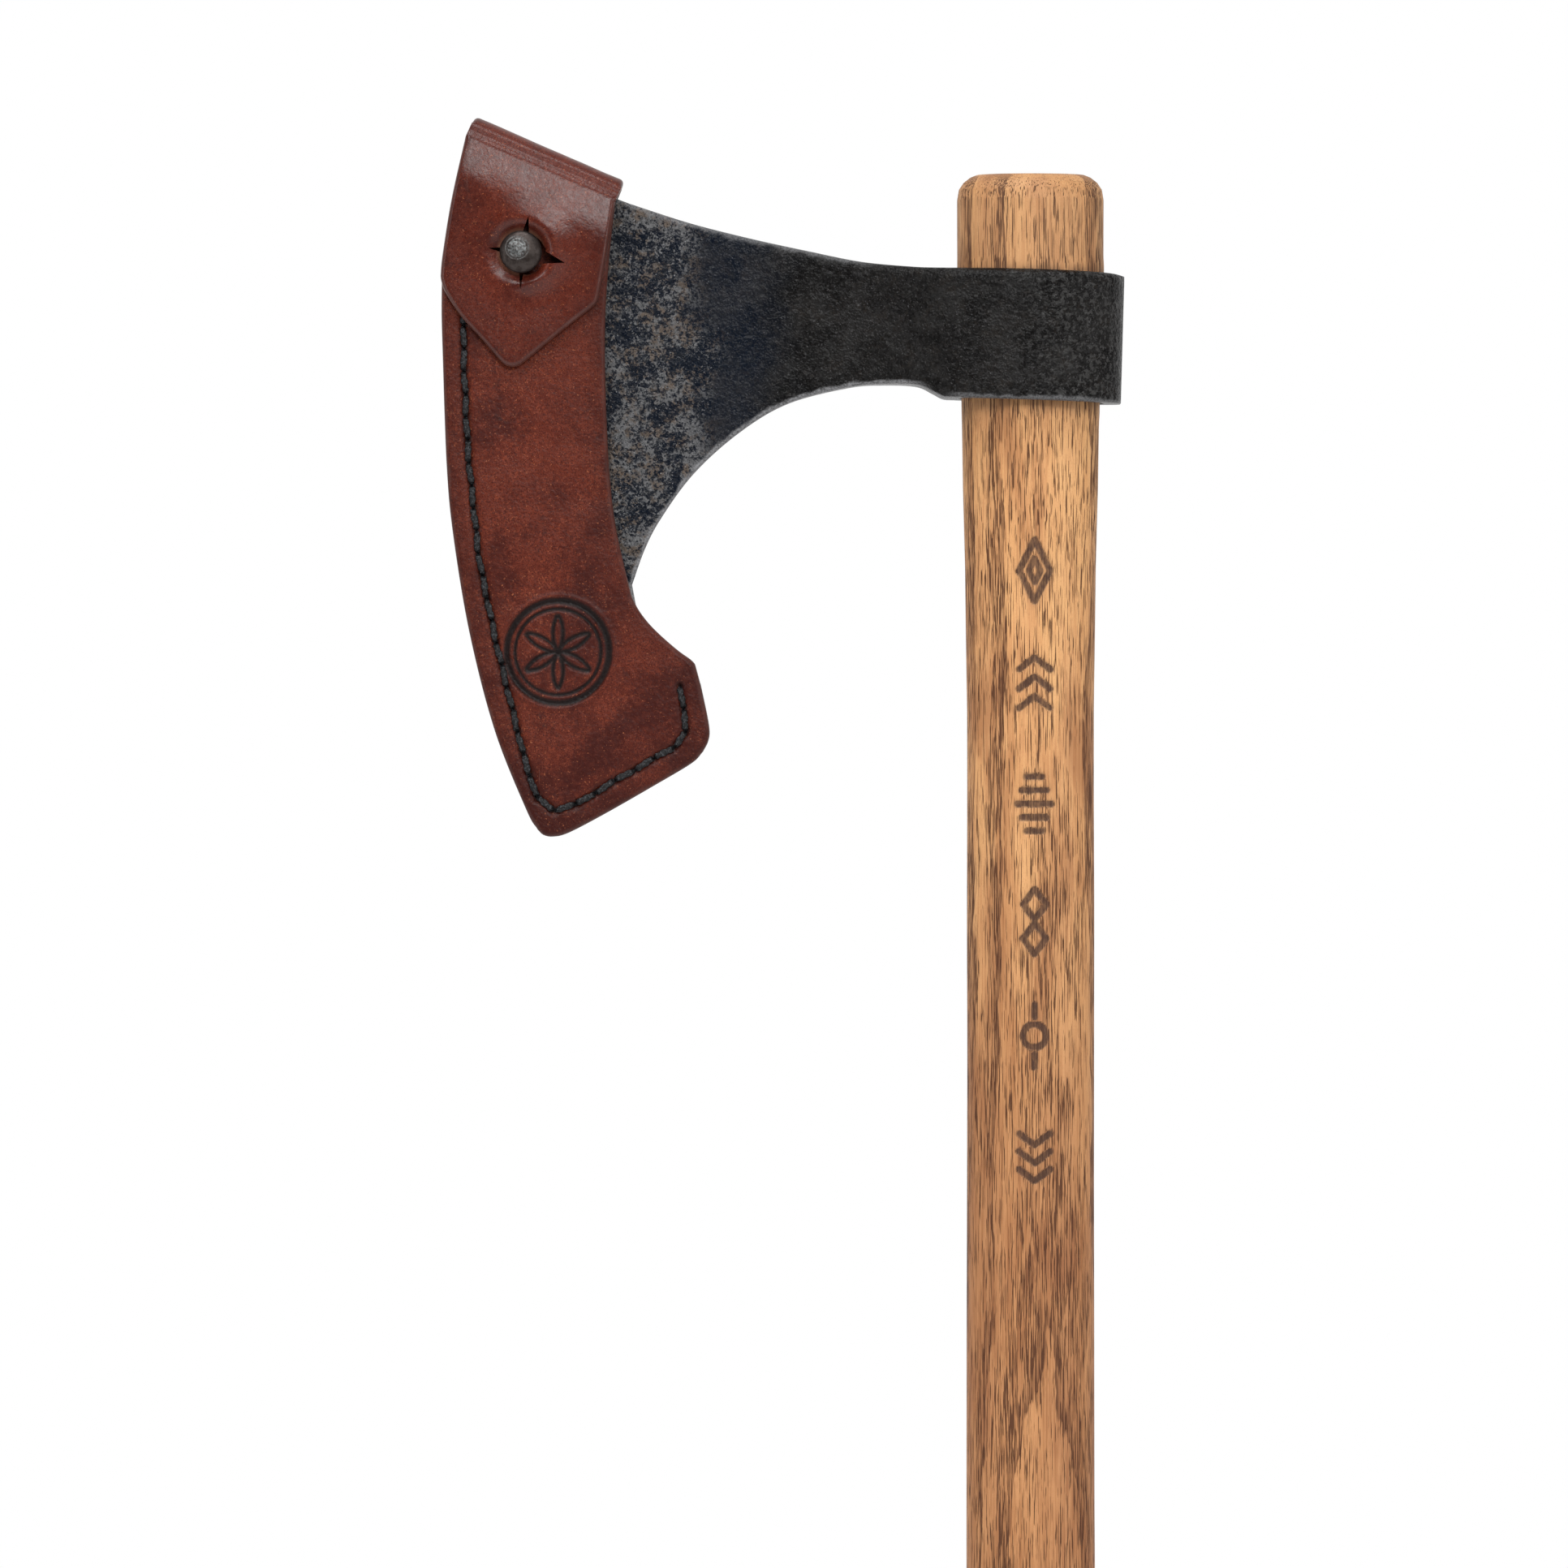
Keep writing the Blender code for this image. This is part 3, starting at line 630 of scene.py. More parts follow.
def mark_shapes():
    """Six plain ornaments, each as strokes round its own middle."""
    lozenge = [(0, 8), (4, 0), (0, -8), (-4, 0), (0, 8)]
    inner = [(0, 3), (1.5, 0), (0, -3), (-1.5, 0), (0, 3)]
    chevrons = [[(-4, y - 3), (0, y), (4, y - 3)] for y in (8, 3, -2)]
    lengths = ((2, 7), (3.2, 3.5), (4.4, 0), (3.2, -3.5), (2, -7))
    bars = [[(-half, y), (half, y)] for half, y in lengths]
    pair = [[(0, y + 4), (3, y), (0, y - 4), (-3, y), (0, y + 4)] for y in (4.4, -4.4)]
    turns = np.linspace(0.0, 2 * math.pi, 25)
    ring = [[(3.0 * math.cos(a), 3.0 * math.sin(a)) for a in turns]]
    ring += [[(0, 4.8), (0, 8)], [(0, -4.8), (0, -8)]]
    fan = [[(0, y), (side * 4, y + 3)] for y in (-7, -2.4, 2.2) for side in (-1, 1)]
    return [[lozenge, inner], chevrons, bars, pair, ring, fan]


def near_marks(points, margin, value_of):
    """The highest value that the marks' strokes give each haft point by its distance from them."""
    values = np.zeros(len(points))
    front = np.flatnonzero((points[:, 1] < 0) & (np.abs(points[:, 0]) < 9.0 + margin))
    for height, shape in zip(MARK_HEIGHTS, mark_shapes()):
        near = front[np.abs(points[front, 2] - height) < 12.0 + margin]
        spot = side_view(points[near]) - np.array([MARK_CENTRE_X, height])
        for ends in shape:
            gap = distance_to_line(spot, np.array(ends, float))
            values[near] = np.maximum(values[near], value_of(gap, points[near]))
    return values


def charred(gap, points):
    """1 on a stroke and 0 away from it, with soft, uneven sides."""
    half = 0.5 * (MARK_WIDTH + 0.3 * value_noise(points + 40.0, 1.3, 5))
    return 1.0 - ease(half - 0.22, half + 0.22, gap)


def scorched(gap, _):
    """A soft glow of scorching round a stroke."""
    return bell(gap, 1.6)


def growth_rings(points):
    """Which growth ring each haft point lies in: rings that close in an arch low on the front."""
    rise = points[:, 2] - RING_ARCH[1]
    lean = np.where(rise < 0.0, 0.021 * rise, 1.4 * (1.0 - np.exp(-0.015 * np.maximum(rise, 0.0))))
    aside = points[:, 0] - RING_ARCH[0]
    return (aside**2 / 95.0 + 0.1 * (points[:, 1] + 12.0) + lean) / RING_STEP


def haft_rings():
    """Heights of the haft's rings, close together where the marks and the rounded ends are."""
    bottom = min(MARK_HEIGHTS) - MARK_REACH
    top = max(MARK_HEIGHTS) + MARK_REACH
    runs = [np.linspace(0.0, 3.0, 10), np.arange(4.5, bottom, 1.6), np.arange(bottom, top, 0.38)]
    runs += [np.arange(top, SHOULDER, 1.3), np.linspace(SHOULDER, HAFT_LENGTH, 34)]
    return np.concatenate(runs)


def haft_turns():
    """Angles round the haft, closest on the front where the marks are."""
    front = np.linspace(-FRONT_TURN, FRONT_TURN, 56) - math.pi / 2
    rest = np.linspace(FRONT_TURN, 2 * math.pi - FRONT_TURN, 74)[1:-1] - math.pi / 2
    return np.concatenate([front, rest])


def haft_radius(height):
    """Half the haft's width at this height."""
    heights, radii = np.array(HAFT_OUTLINE).T
    return np.interp(height, heights, radii)


def haft_wall(heights, turns):
    """The haft's side, a little wavy outside the eye, with the marks sunk into it."""
    z, turn = np.meshgrid(heights, turns, indexing="ij")
    radius = haft_radius(z)
    wall = np.stack([radius * np.cos(turn), radius * np.sin(turn) * HAFT_DEPTH_RATIO, z], -1)
    wall = wall.reshape(-1, 3)
    normal = wall * np.array([1.0, 1.0 / HAFT_DEPTH_RATIO**2, 0.0])
    normal /= np.linalg.norm(normal, axis=1)[:, None]
    wave = 0.10 * value_noise(wall * np.array([1.0, 1.0, 0.25]), 9.0, 3)
    below = ease(EYE_BOTTOM - 6.0, EYE_BOTTOM - 2.0, wall[:, 2])
    above = ease(EYE_TOP + 1.5, EYE_TOP + 4.0, wall[:, 2])
    free = 1.0 - below * (1.0 - above)
    burnt = near_marks(wall, 0.0, charred)
    sunk = 0.22 * burnt * (0.8 + 0.2 * value_noise(wall, 1.0, 9))
    return wall + normal * ((wave - 0.10) * free - sunk)[:, None]


def build_haft(material):
    heights = haft_rings()
    turns = haft_turns()
    count = len(turns)
    wall = haft_wall(heights, turns)
    blocks = [wall]
    faces = grid_faces(len(heights), count, 0, closed=True)
    start = len(wall)
    for end, rings in ((len(heights) - 1, TOP_CAP_RINGS), (0, BUTT_CAP_RINGS)):
        rim = wall[end * count : (end + 1) * count]
        middle = rim.mean(axis=0)
        shares = np.linspace(1.0, 0.04, rings + 1)[1:]
        blocks.append(np.vstack([middle + (rim - middle) * share for share in shares]))
        for a in range(count):
            b = (a + 1) % count
            faces.append((end * count + a, end * count + b, start + b, start + a))
        faces += grid_faces(rings, count, start, closed=True)
        start += rings * count
        faces.append(tuple(range(start - count, start)))
    haft = new_object("haft", np.vstack(blocks), faces, sharp_degrees=50.0)

    spots = places(haft)
    height = spots[:, 2]
    marks = near_marks(spots, 0.0, charred)
    halo = value_noise(spots, 3.0, 4) * 0.3 + 0.7
    # Darker in a band at each mouth of the eye and over the top above the head.
    collar = np.exp(-np.abs(height - EYE_BOTTOM) / 2.2) + np.exp(-np.abs(height - EYE_TOP) / 1.8)
    darker_near_eye = collar * (0.7 + 0.5 * value_noise(spots, 2.5, 8))
    darker_near_eye = darker_near_eye + 0.40 * ease(EYE_TOP, EYE_TOP + 6.0, height)
    store(haft, "burn", marks)
    store(haft, "ring", growth_rings(spots))
    store(haft, "halo", halo * near_marks(spots, 1.0, scorched) * (1.0 - marks))
    store(haft, "end_grain", ease(HAFT_LENGTH - 2.2, HAFT_LENGTH - 0.2, height))
    store(haft, "darker_near_eye", darker_near_eye.clip(0.0, 1.0))
    haft.data.materials.append(material)
    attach(haft, "tool")
    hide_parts("handle")


# ------------------------ head


def blade_half_thickness(to_edge, limit):
    """Half the thickness this far from the cutting edge: a short bevel, then a slow swell."""
    bevel = 0.08 + 0.82 * ease(0.0, 6.5, to_edge) * 0.9
    swell = 0.45 * ease(4.0, 38.0, to_edge)
    return np.minimum(bevel + swell, limit)


def head_grid():
    """The head's side view: points, and their numbers by row and column, -1 where there is none."""
    beard_shares = spread(BEARD_ROWS)
    neck_shares = spread(NECK_ROWS)
    # The blade's columns run from the edge to the line behind it, beard rows first.
    edge = smooth_line(CUTTING_EDGE)
    edge_low = along(edge, beard_shares * BEARD_SHARE)
    edge_high = along(edge, BEARD_SHARE + neck_shares * (1.0 - BEARD_SHARE))
    back_low = along(smooth_line(BEARD_BACK), beard_shares)
    back_line = smooth_line([HEAD_UNDERSIDE[0], (-103.9, 420.0), HEAD_TOP[0]])
    back_high = along(back_line, neck_shares)
    edge_side = np.vstack([edge_low, edge_high[1:]])
    back_side = np.vstack([back_low, back_high[1:]])
    shares = np.concatenate([np.linspace(0.0, 0.2, 16), np.linspace(0.22, 1.0, 44)])
    blade = edge_side[:, None] + (back_side - edge_side)[:, None] * shares[None, :, None]
    # The neck and eye carry on from the rows above the beard.
    across = np.concatenate([np.linspace(0.0, 0.6, 92)[1:], np.linspace(0.6, 1.0, 74)[1:]])
    low = along(smooth_line(HEAD_UNDERSIDE), across)
    high = along(smooth_line(HEAD_TOP), across)
    neck = low[None] + (high - low)[None] * neck_shares[:, None, None]

    index = -np.ones((len(blade), len(shares) + len(across)), int)
    flat = []
    for row, line in enumerate(blade):
        if row >= BEARD_ROWS - 1:
            line = np.vstack([line, neck[row - BEARD_ROWS + 1]])
        index[row, : len(line)] = np.arange(len(line)) + len(flat)
        flat += list(line)
    return np.array(flat), index


def head_faces(index, count):
    """Faces of the head's two sides and of the rim between them."""
    faces = []
    for low, high in zip(index.tolist(), index[1:].tolist()):
        faces += [four for four in zip(low, low[1:], high[1:], high) if min(four) >= 0]
    runs = dict.fromkeys(run for face in faces for run in zip(face, face[1:] + face[:1]))
    border = [(a, b) for a, b in runs if (b, a) not in runs]
    faces += [tuple(i + count for i in reversed(face)) for face in faces]
    return faces + [(b, a, a + count, b + count) for a, b in border]


def head_half_thickness(flat, over, under):
    """Half the head's thickness at side-view points, its edges rounded."""
    line = smooth_line(HEAD_HALF_THICKNESS)
    limit = np.interp(flat[:, 0], line[:, 0], line[:, 1])
    to_edge = distance_to_line(flat, smooth_line(CUTTING_EDGE))
    half = np.where(flat[:, 0] < -102.0, blade_half_thickness(to_edge, limit), limit)
    swell = ease(-103.5, -92.0, flat[:, 0]) * UNLIMITED
    half = np.minimum(half, blade_half_thickness(to_edge, UNLIMITED) + swell)
    to_over = distance_to_line(flat, over)
    to_under = distance_to_line(flat, under)
    soft = ease(-100.0, -84.0, flat[:, 0]) * (to_over < to_under)
    radius = np.minimum(0.9 + 1.5 * soft, half * (0.6 + 0.2 * soft))
    half = half - rounded_edge(np.minimum(to_over, to_under), radius)
    poll = np.array([HEAD_UNDERSIDE[-1], HEAD_TOP[-1]])
    return half - rounded_edge(distance_to_line(flat, poll), np.minimum(1.2, half * 0.5))


def hammer_marks(points, half, seed):
    """Shallow dents over the forging, fainter where it is thin."""
    small = fractal_noise(points, 4.0, seed, 3) * 0.12
    dents = value_noise(points, 11.0, seed + 20) * 0.16
    calm = ease(0.3, 2.0, half) * 0.8 + 0.2
    return (small + dents) * calm


def store_wear(head, over, under):
    """Where the head is blade, blued, worn along its edges or bright at its cutting edge."""
    spots = places(head)
    along_head = spots[:, 0]
    flat = side_view(spots)
    wavy = along_head + 4.0 * value_noise(spots, 12.0, 2) + 2.0 * value_noise(spots, 4.0, 3)
    ragged = 1.0 + 0.5 * value_noise(spots, 2.2, 6)
    band = 1.0 - ease(0.5, 1.25, distance_to_line(flat, under) / ragged)
    band *= ease(-24.0, -34.0, along_head) + 0.55 * ease(-24.0, -16.0, along_head)
    crest = 1.0 - ease(0.3, 1.6, distance_to_line(flat, over) / ragged)
    crest = crest * (1.0 - ease(-50.0, -36.0, along_head)) * 0.55
    to_edge = distance_to_line(flat, smooth_line(CUTTING_EDGE)) + 0.6 * value_noise(spots, 4.0, 7)
    store(head, "blade", 1.0 - ease(-90.0, -80.0, wavy))
    store(head, "blue", 1.0 - ease(-76.0, -58.0, wavy))
    store(head, "worn", np.maximum(band, crest).clip(0.0, 1.0))
    store(head, "bright", 1.0 - ease(3.5, 6.0, to_edge))


def build_head(material):
    flat, index = head_grid()
    over = np.vstack([smooth_line(HEAD_TOP)[::-1], CUTTING_EDGE[-1:]])
    under = np.vstack([CUTTING_EDGE[:1], smooth_line(BEARD_BACK), smooth_line(HEAD_UNDERSIDE)])
    half = head_half_thickness(flat, over, under)
    front = upright(flat, -half)
    back = upright(flat, half)
    front[:, 1] += hammer_marks(front, half, 11)
    back[:, 1] -= hammer_marks(back, half, 31)
    faces = head_faces(index, len(flat))
    head = new_object("forged_head", np.vstack([front, back]), faces, STEEL_SHARP)
    cut_through(head, eye_cutter(), STEEL_SHARP)
    store_wear(head, over, under)
    head.data.materials.append(material)
    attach(head, "tool")
    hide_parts("axe_head")


def eye_cutter():
    """The tapered oval eye, a little wider at its mouths."""
    low, high = EYE_BOTTOM, EYE_TOP
    flares = [(low - 8.0, 1.0), (low + 0.6, 0.7), (low + 1.8, 0.0)]
    flares += [(high - 1.4, 0.0), (high - 0.2, 0.6), (high + 8.0, 1.2)]
    turns = whole_turn(96)
    points = []
    for height, wider in flares:
        half = haft_radius(min(max(height, low), high))
        radius = half + EYE_GAP + wider
        depth = half * HAFT_DEPTH_RATIO + EYE_GAP + wider
        points += [(radius * math.cos(a), depth * math.sin(a), height) for a in turns]
    return new_object("eye_cutter", points, tube_faces(len(flares), len(turns)))


# ------------------------ leather cover


def seam_holes():
    """The stitch holes and the seam's direction at each."""
    line = np.array(SEAM_LINE)
    length = np.linalg.norm(np.diff(line, axis=0), axis=1).sum()
    count = round(length / STITCH_PITCH)
    centres = along(line, np.linspace(0.0, 1.0, count + 1))
    ahead = np.gradient(centres, axis=0)
    return centres, ahead / np.linalg.norm(ahead, axis=1)[:, None]


def seam_depth(flat):
    """How deep the sewing groove and the awl holes lie, in millimetres."""
    centres, ahead = seam_holes()
    groove = 0.42 * bell(distance_to_line(flat, centres), 1.15)
    pits = np.zeros(len(flat))
    for centre, direction in zip(centres, ahead):
        gap = flat - centre
        near = np.abs(gap).max(axis=1) < 3.0
        forward = gap[near] @ direction
        sideways = gap[near] @ np.array([-direction[1], direction[0]])
        pits[near] = np.maximum(pits[near], bell(forward, 1.05) * bell(sideways, 0.8))
    return groove + 0.95 * pits, pits


def rosette(flat):
    """The tooled rosette: six overlapping arcs in a double ring, 1 in a sunk line, which the colour
    darkens with painted shade as well.
    """
    spot = flat - ROSETTE_CENTRE
    radius = np.linalg.norm(spot, axis=1)
    pressed_and_shaded = np.zeros(len(flat))
    petal = ROSETTE_RADIUS * 0.74
    for turn in range(6):
        angle = math.radians(60 * turn + 30)
        arc = petal * np.array([math.cos(angle), math.sin(angle)])
        gap = np.abs(np.linalg.norm(spot - arc, axis=1) - petal)
        line = (1.0 - ease(0.25, 0.85, gap)) * (1.0 - ease(petal - 0.4, petal + 0.6, radius))
        pressed_and_shaded = np.maximum(pressed_and_shaded, line)
    for ring, width in ((ROSETTE_RADIUS * 0.84, 0.40), (ROSETTE_RADIUS, 0.95)):
        gap = np.abs(radius - ring)
        pressed_and_shaded = np.maximum(pressed_and_shaded, 1.0 - ease(width * 0.5, width + 0.35, gap))
    return pressed_and_shaded


def cover_outline():
    left = smooth_line(COVER_EDGE_SIDE)
    bottom = smooth_line(COVER_BOTTOM)
    right = smooth_line(COVER_HAFT_SIDE)
    return left, bottom, right


def cover_grid(columns, rows):
    """The panels' side view, in rows from the bottom to the root of the fold."""
    left, bottom, right = cover_outline()
    top = np.array([FOLD_ROOT, FOLD_ROOT_END])
    return coons(left[::-1], right, bottom, top, columns, rows)


def leather_marks(obj, to_edge, pressed_and_shaded, raw):
    """Store per vertex the burnished edge, lightened as a painted reflection, and how shaded,
    tooled (darkened with painted shade) or raw the leather is.
    """
    spots = places(obj)
    ragged = 1.0 + 0.45 * value_noise(spots, 2.6, 12)
    # The burnished edge band; its light colour is partly a painted reflection along the bevels.
    store(obj, "edge", (1.0 - ease(0.1, 1.05, to_edge / ragged)) * (1.0 - raw))
    store(obj, "shade", np.exp(-to_edge / 4.5) * (1.0 - raw))
    store(obj, "pressed_and_shaded", pressed_and_shaded)
    store(obj, "raw", raw)


def build_front_panel(material):
    columns = spread(126)
    rows = spread(350, (0.13, 0.38), 1.2)
    grid = cover_grid(columns, rows).reshape(-1, 2)
    outline = np.vstack(cover_outline())
    to_edge = distance_to_line(grid, outline)
    depth, _ = seam_depth(grid)
    shape = upright(grid, -PANEL_OUTER)
    swell = 0.24 * fractal_noise(shape, 26.0, 3, 3) + 0.07 * fractal_noise(shape, 5.0, 7, 3)
    to_rosette = np.linalg.norm(grid - ROSETTE_CENTRE, axis=1)
    dome = 0.20 * (1.0 - ease(ROSETTE_RADIUS * 0.3, ROSETTE_RADIUS, to_rosette))
    dome += 0.22 * bell(to_rosette - ROSETTE_RADIUS - 1.3, 0.7)
    height = swell - 0.25 - depth - 0.60 * rosette(grid) + dome
    height -= rounded_edge(to_edge, GRAIN_EDGE_RADIUS)
    outer = upright(grid, -PANEL_OUTER - height)
    inner = upright(grid, -PANEL_INNER - rounded_edge(to_edge, FLESH_EDGE_RADIUS))
    faces = shell_faces(len(rows), len(columns))
    panel = new_object("front_leather", np.vstack([outer, inner]), faces, LEATHER_SHARP)
    spots = places(panel)
    flat = side_view(spots)
    raw = 1.0 * (spots[:, 1] > -PANEL_INNER - 0.5)
    _, pits = seam_depth(flat)
    # Tooled lines and awl holes, which the colour darkens with painted shade.
    pressed_and_shaded = np.maximum(pits, rosette(flat)) * (1.0 - raw)
    leather_marks(panel, distance_to_line(flat, outline), pressed_and_shaded, raw)
    panel.data.materials.append(material)
    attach(panel, "cover")
    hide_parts("cover_front_panel")


def wrap_sheet(columns):
    """The folded leather's middle layer, in rows up the back and down the flap, and its outside."""
    back = cover_grid(columns, spread(260))
    top = np.array([FOLD_ROOT, FOLD_ROOT_END])
    edge_side = smooth_line(FLAP_EDGE_SIDE)
    haft_side = smooth_line(FLAP_HAFT_SIDE)[::-1]
    flap = coons(edge_side, haft_side, top, smooth_line(FLAP_LOWER_SIDE), columns, spread(170))
    root = FOLD_ROOT + np.outer(columns * CREST_LENGTH, ALONG_CREST)
    turns = np.linspace(0.0, math.pi, 62)[1:-1, None]
    lift = ACROSS_CREST * np.sin(turns)[..., None]
    fold = upright(root + lift * FOLD_RADIUS, FOLD_AXIS_Y + FOLD_RADIUS * np.cos(turns))
    fold_outward = upright(np.repeat(lift, len(columns), axis=1), np.cos(turns))
    back_middle = upright(back, PANEL_INNER + LEATHER / 2)
    flap_middle = upright(flap, -FLAP_INNER - LEATHER / 2)
    middle = np.vstack([back_middle, fold, flap_middle])
    outward = np.vstack([upright(back * 0.0, 1.0), fold_outward, upright(flap * 0.0, -1.0)])
    return middle, outward


def build_wrap(material):
    """The back panel, the fold over the toe and the flap: one piece of leather."""
    columns = spread(92)
    middle, outward = wrap_sheet(columns)
    rows = len(middle)
    middle = middle.reshape(-1, 3)
    outward = outward.reshape(-1, 3)

    to_edge = wrap_edge_distance(middle)
    flat = side_view(middle)
    on_back = middle[:, 1] > PANEL_INNER
    on_flap = middle[:, 1] < -FLAP_INNER
    depth, _ = seam_depth(flat)
    height = 0.25 * fractal_noise(middle, 22.0, 15, 3) - 0.25
    rise = side_view(middle + outward * LEATHER / 2) @ ACROSS_CREST - FOLD_ROOT @ ACROSS_CREST
    front = ease(FOLD_AXIS_Y, FOLD_AXIS_Y - FOLD_RADIUS * 0.9, middle[:, 1])
    height = height - depth * on_back + flap_relief(flat) * on_flap + bend_relief(rise) * front
    height -= rounded_edge(to_edge, GRAIN_EDGE_RADIUS)
    outer = middle + outward * (LEATHER / 2 + height)[:, None]
    depth = LEATHER / 2 - rounded_edge(to_edge, FLESH_EDGE_RADIUS)
    inner = middle - outward * depth[:, None]
    faces = shell_faces(rows, len(columns))
    wrap = new_object("back_leather_and_flap", np.vstack([outer, inner]), faces, LEATHER_SHARP)
    cut_through(wrap, button_hole_cutter(), LEATHER_SHARP)

    spots = places(wrap)
    flat = side_view(spots)
    hole = np.linalg.norm(flat - STUD_CENTRE, axis=1)
    cut_edge = (spots[:, 1] < -FLAP_INNER) * (1.0 - ease(5.6, 6.6, hole))
    _, pits = seam_depth(flat)
    raw = np.maximum(wrap_is_inside(spots), 0.6 * cut_edge)
    leather_marks(wrap, wrap_edge_distance(spots), pits * (spots[:, 1] > PANEL_INNER), raw)
    wrap.data.materials.append(material)
    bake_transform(wrap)
    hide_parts("cover_back_panel", "flap_fold", "closure_flap")


def wrap_edge_distance(points):
    """How far each point of the folded leather is from its cut edge."""
    flat = side_view(points)
    back = distance_to_line(flat, np.vstack(cover_outline()))
    sides = (FLAP_EDGE_SIDE, FLAP_LOWER_SIDE, FLAP_HAFT_SIDE)
    front = distance_to_line(flat, np.vstack([smooth_line(side) for side in sides]))
    share = (flat - FOLD_ROOT) @ ALONG_CREST
    fold = np.minimum(share, CREST_LENGTH - share).clip(0.0)
    distance = np.where(points[:, 1] > PANEL_INNER, back, fold)
    return np.where(points[:, 1] < -FLAP_INNER, front, distance)


def wrap_is_inside(points):
    """1 on the flesh side of the folded leather, 0 on its grain side."""
    rise = (side_view(points) - FOLD_ROOT) @ ACROSS_CREST
    reach = np.hypot(points[:, 1] - FOLD_AXIS_Y, np.maximum(rise, 0.0))
    return 1.0 - ease(FOLD_RADIUS - 0.8, FOLD_RADIUS - 0.1, reach)


def bend_relief(rise):
    """The bend's shape against the height over its root: a tight crest, a crease and a swelling."""
    crease = -0.50 * bell(rise - 2.4, 1.3)
    reach = np.where(rise > -10.0, 10.0, 11.0)
    swelling = 2.1 * bell(rise + 10.0, reach)
    return crease + swelling


def flap_relief(flat):
    """The leather pushed up in a lip round the stud, most on the haft side."""
    spot = flat - STUD_CENTRE
    radius = np.linalg.norm(spot, axis=1)
    turn = np.arctan2(spot[:, 1], spot[:, 0])
    lean = 0.12 + 0.88 * (0.5 + 0.5 * np.cos(turn - math.radians(12.0))) ** 1.3
    outside = (radius - 8.0).clip(0.0)
    lip = 1.5 * lean * ease(5.2, 8.2, radius) * bell(outside, 4.2)
    under = 0.95 * bell(turn + 1.15, 0.5) * bell(radius - 8.3, 1.7)
    sunk = -0.80 * (1.0 - ease(5.0, 9.5, radius))
    wrinkles = 0.13 * fractal_noise(upright(flat, 0.0), 3.0, 21, 3) * np.exp(-radius / 12.0)
    return lip + under + sunk + wrinkles


def button_hole_cutter():
    """The button hole: a worn round hole with four torn slits."""
    centre = STUD_CENTRE + np.array([0.35, -0.15])
    slits = []
    for x, z, width in ((-8.9, 1.2, 1.5), (1.7, 9.4, 1.7), (11.0, -2.7, 3.2), (-0.5, -9.7, 1.1)):
        # Each slit's direction, its reach and the half of the angle that its mouth takes.
        slits.append((math.atan2(z, x) % (2 * math.pi), math.hypot(x, z), width / 2 / 5.6))
    slits.sort()
    outline = []
    for (angle, reach, half), (following, _, next_half) in zip(slits, slits[1:] + slits[:1]):
        outline.append((angle, reach))
        if following < angle:
            following += 2 * math.pi
        for turn in np.linspace(angle + half, following - next_half, 14):
            wobble = 0.14 * math.sin(5 * turn + 1.0) + 0.08 * math.sin(13 * turn)
            right = max(math.cos(turn + 0.5), 0.0)
            outline.append((turn, 5.25 + wobble + 0.75 * right))
    ring = [(centre[0] + r * math.cos(a), centre[1] + r * math.sin(a)) for a, r in outline]
    points = [(x, y, z) for y in (-FLAP_OUTER - 4.0, -PANEL_INNER) for x, z in ring]
    return new_object("button_hole_cutter", points, tube_faces(2, len(ring)))


def build_welt(material):
    """The strip between the panels, with the waxed layers of its edge."""
    left, bottom, _ = cover_outline()
    end = smooth_line(COVER_HAFT_SIDE[:4] + [(-85.4, 351.5)])
    steps = np.linspace(0.0, 1.0, 420)
    across = np.array([0.0, 0.03, 0.08, 0.2, 0.6, 1.0])
    outside = along(np.vstack([left, bottom, end]), steps)
    inside = along(smooth_line(WELT_INNER)[::-1], steps)
    flat = outside[:, None] + (inside - outside)[:, None] * across[None, :, None]
    half = WELT_HALF + 0.25 - rounded_edge(across * 8.0, 0.4)
    near = upright(flat, -half).reshape(-1, 3)
    far = upright(flat, half).reshape(-1, 3)
    faces = shell_faces(len(steps), len(across))
    welt = new_object("edge_welt_strip", np.vstack([near, far]), faces, LEATHER_SHARP)
    spots = places(welt)
    # The welt's edge takes the burnished colour, lightened as a painted reflection.
    store(welt, "edge", 0.75 + 0.2 * value_noise(spots, 3.0, 2))
    for name in ("pressed_and_shaded", "raw", "shade"):
        store(welt, name, np.zeros(len(spots)))
    welt.data.materials.append(material)
    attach(welt, "cover")
    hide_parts("edge_welt")


# ------------------------ thread and stud


def stitch(start, end, side, seed):
    """One saddle stitch: a flat waxed cord of three strands that dives into a hole at each end."""
    run = end - start
    length = np.linalg.norm(run)
    forward = run / length
    aside = np.array([-forward[1], forward[0]])
    lean = 0.28 * (1 if seed % 2 else -1) * side
    shares = np.linspace(0.0, 1.0, 30)
    lift = -1.35 + 1.55 * ease(0.0, 0.16, shares) * (1.0 - ease(0.84, 1.0, shares))
    turns = whole_turn(16)
    sections = []
    for share, up in zip(shares, lift):
        centre = start + run * share + aside * lean * (1.0 - 2.0 * share) * 0.9
        pinch = 0.78 + 0.22 * math.sin(math.pi * share)
        twist = 2 * math.pi * share * length / 4.6 + seed
        strands = 0.74 + 0.34 * np.abs(np.cos(turns - twist))
        wide = 0.86 * pinch * strands * np.cos(turns)
        high = 0.60 * pinch * strands * np.sin(turns)
        y = side * (PANEL_OUTER - 0.30 + up + high)
        sections.append(upright(centre + aside * wide[:, None], y))
    return np.vstack(sections), tube_faces(len(shares), len(turns))


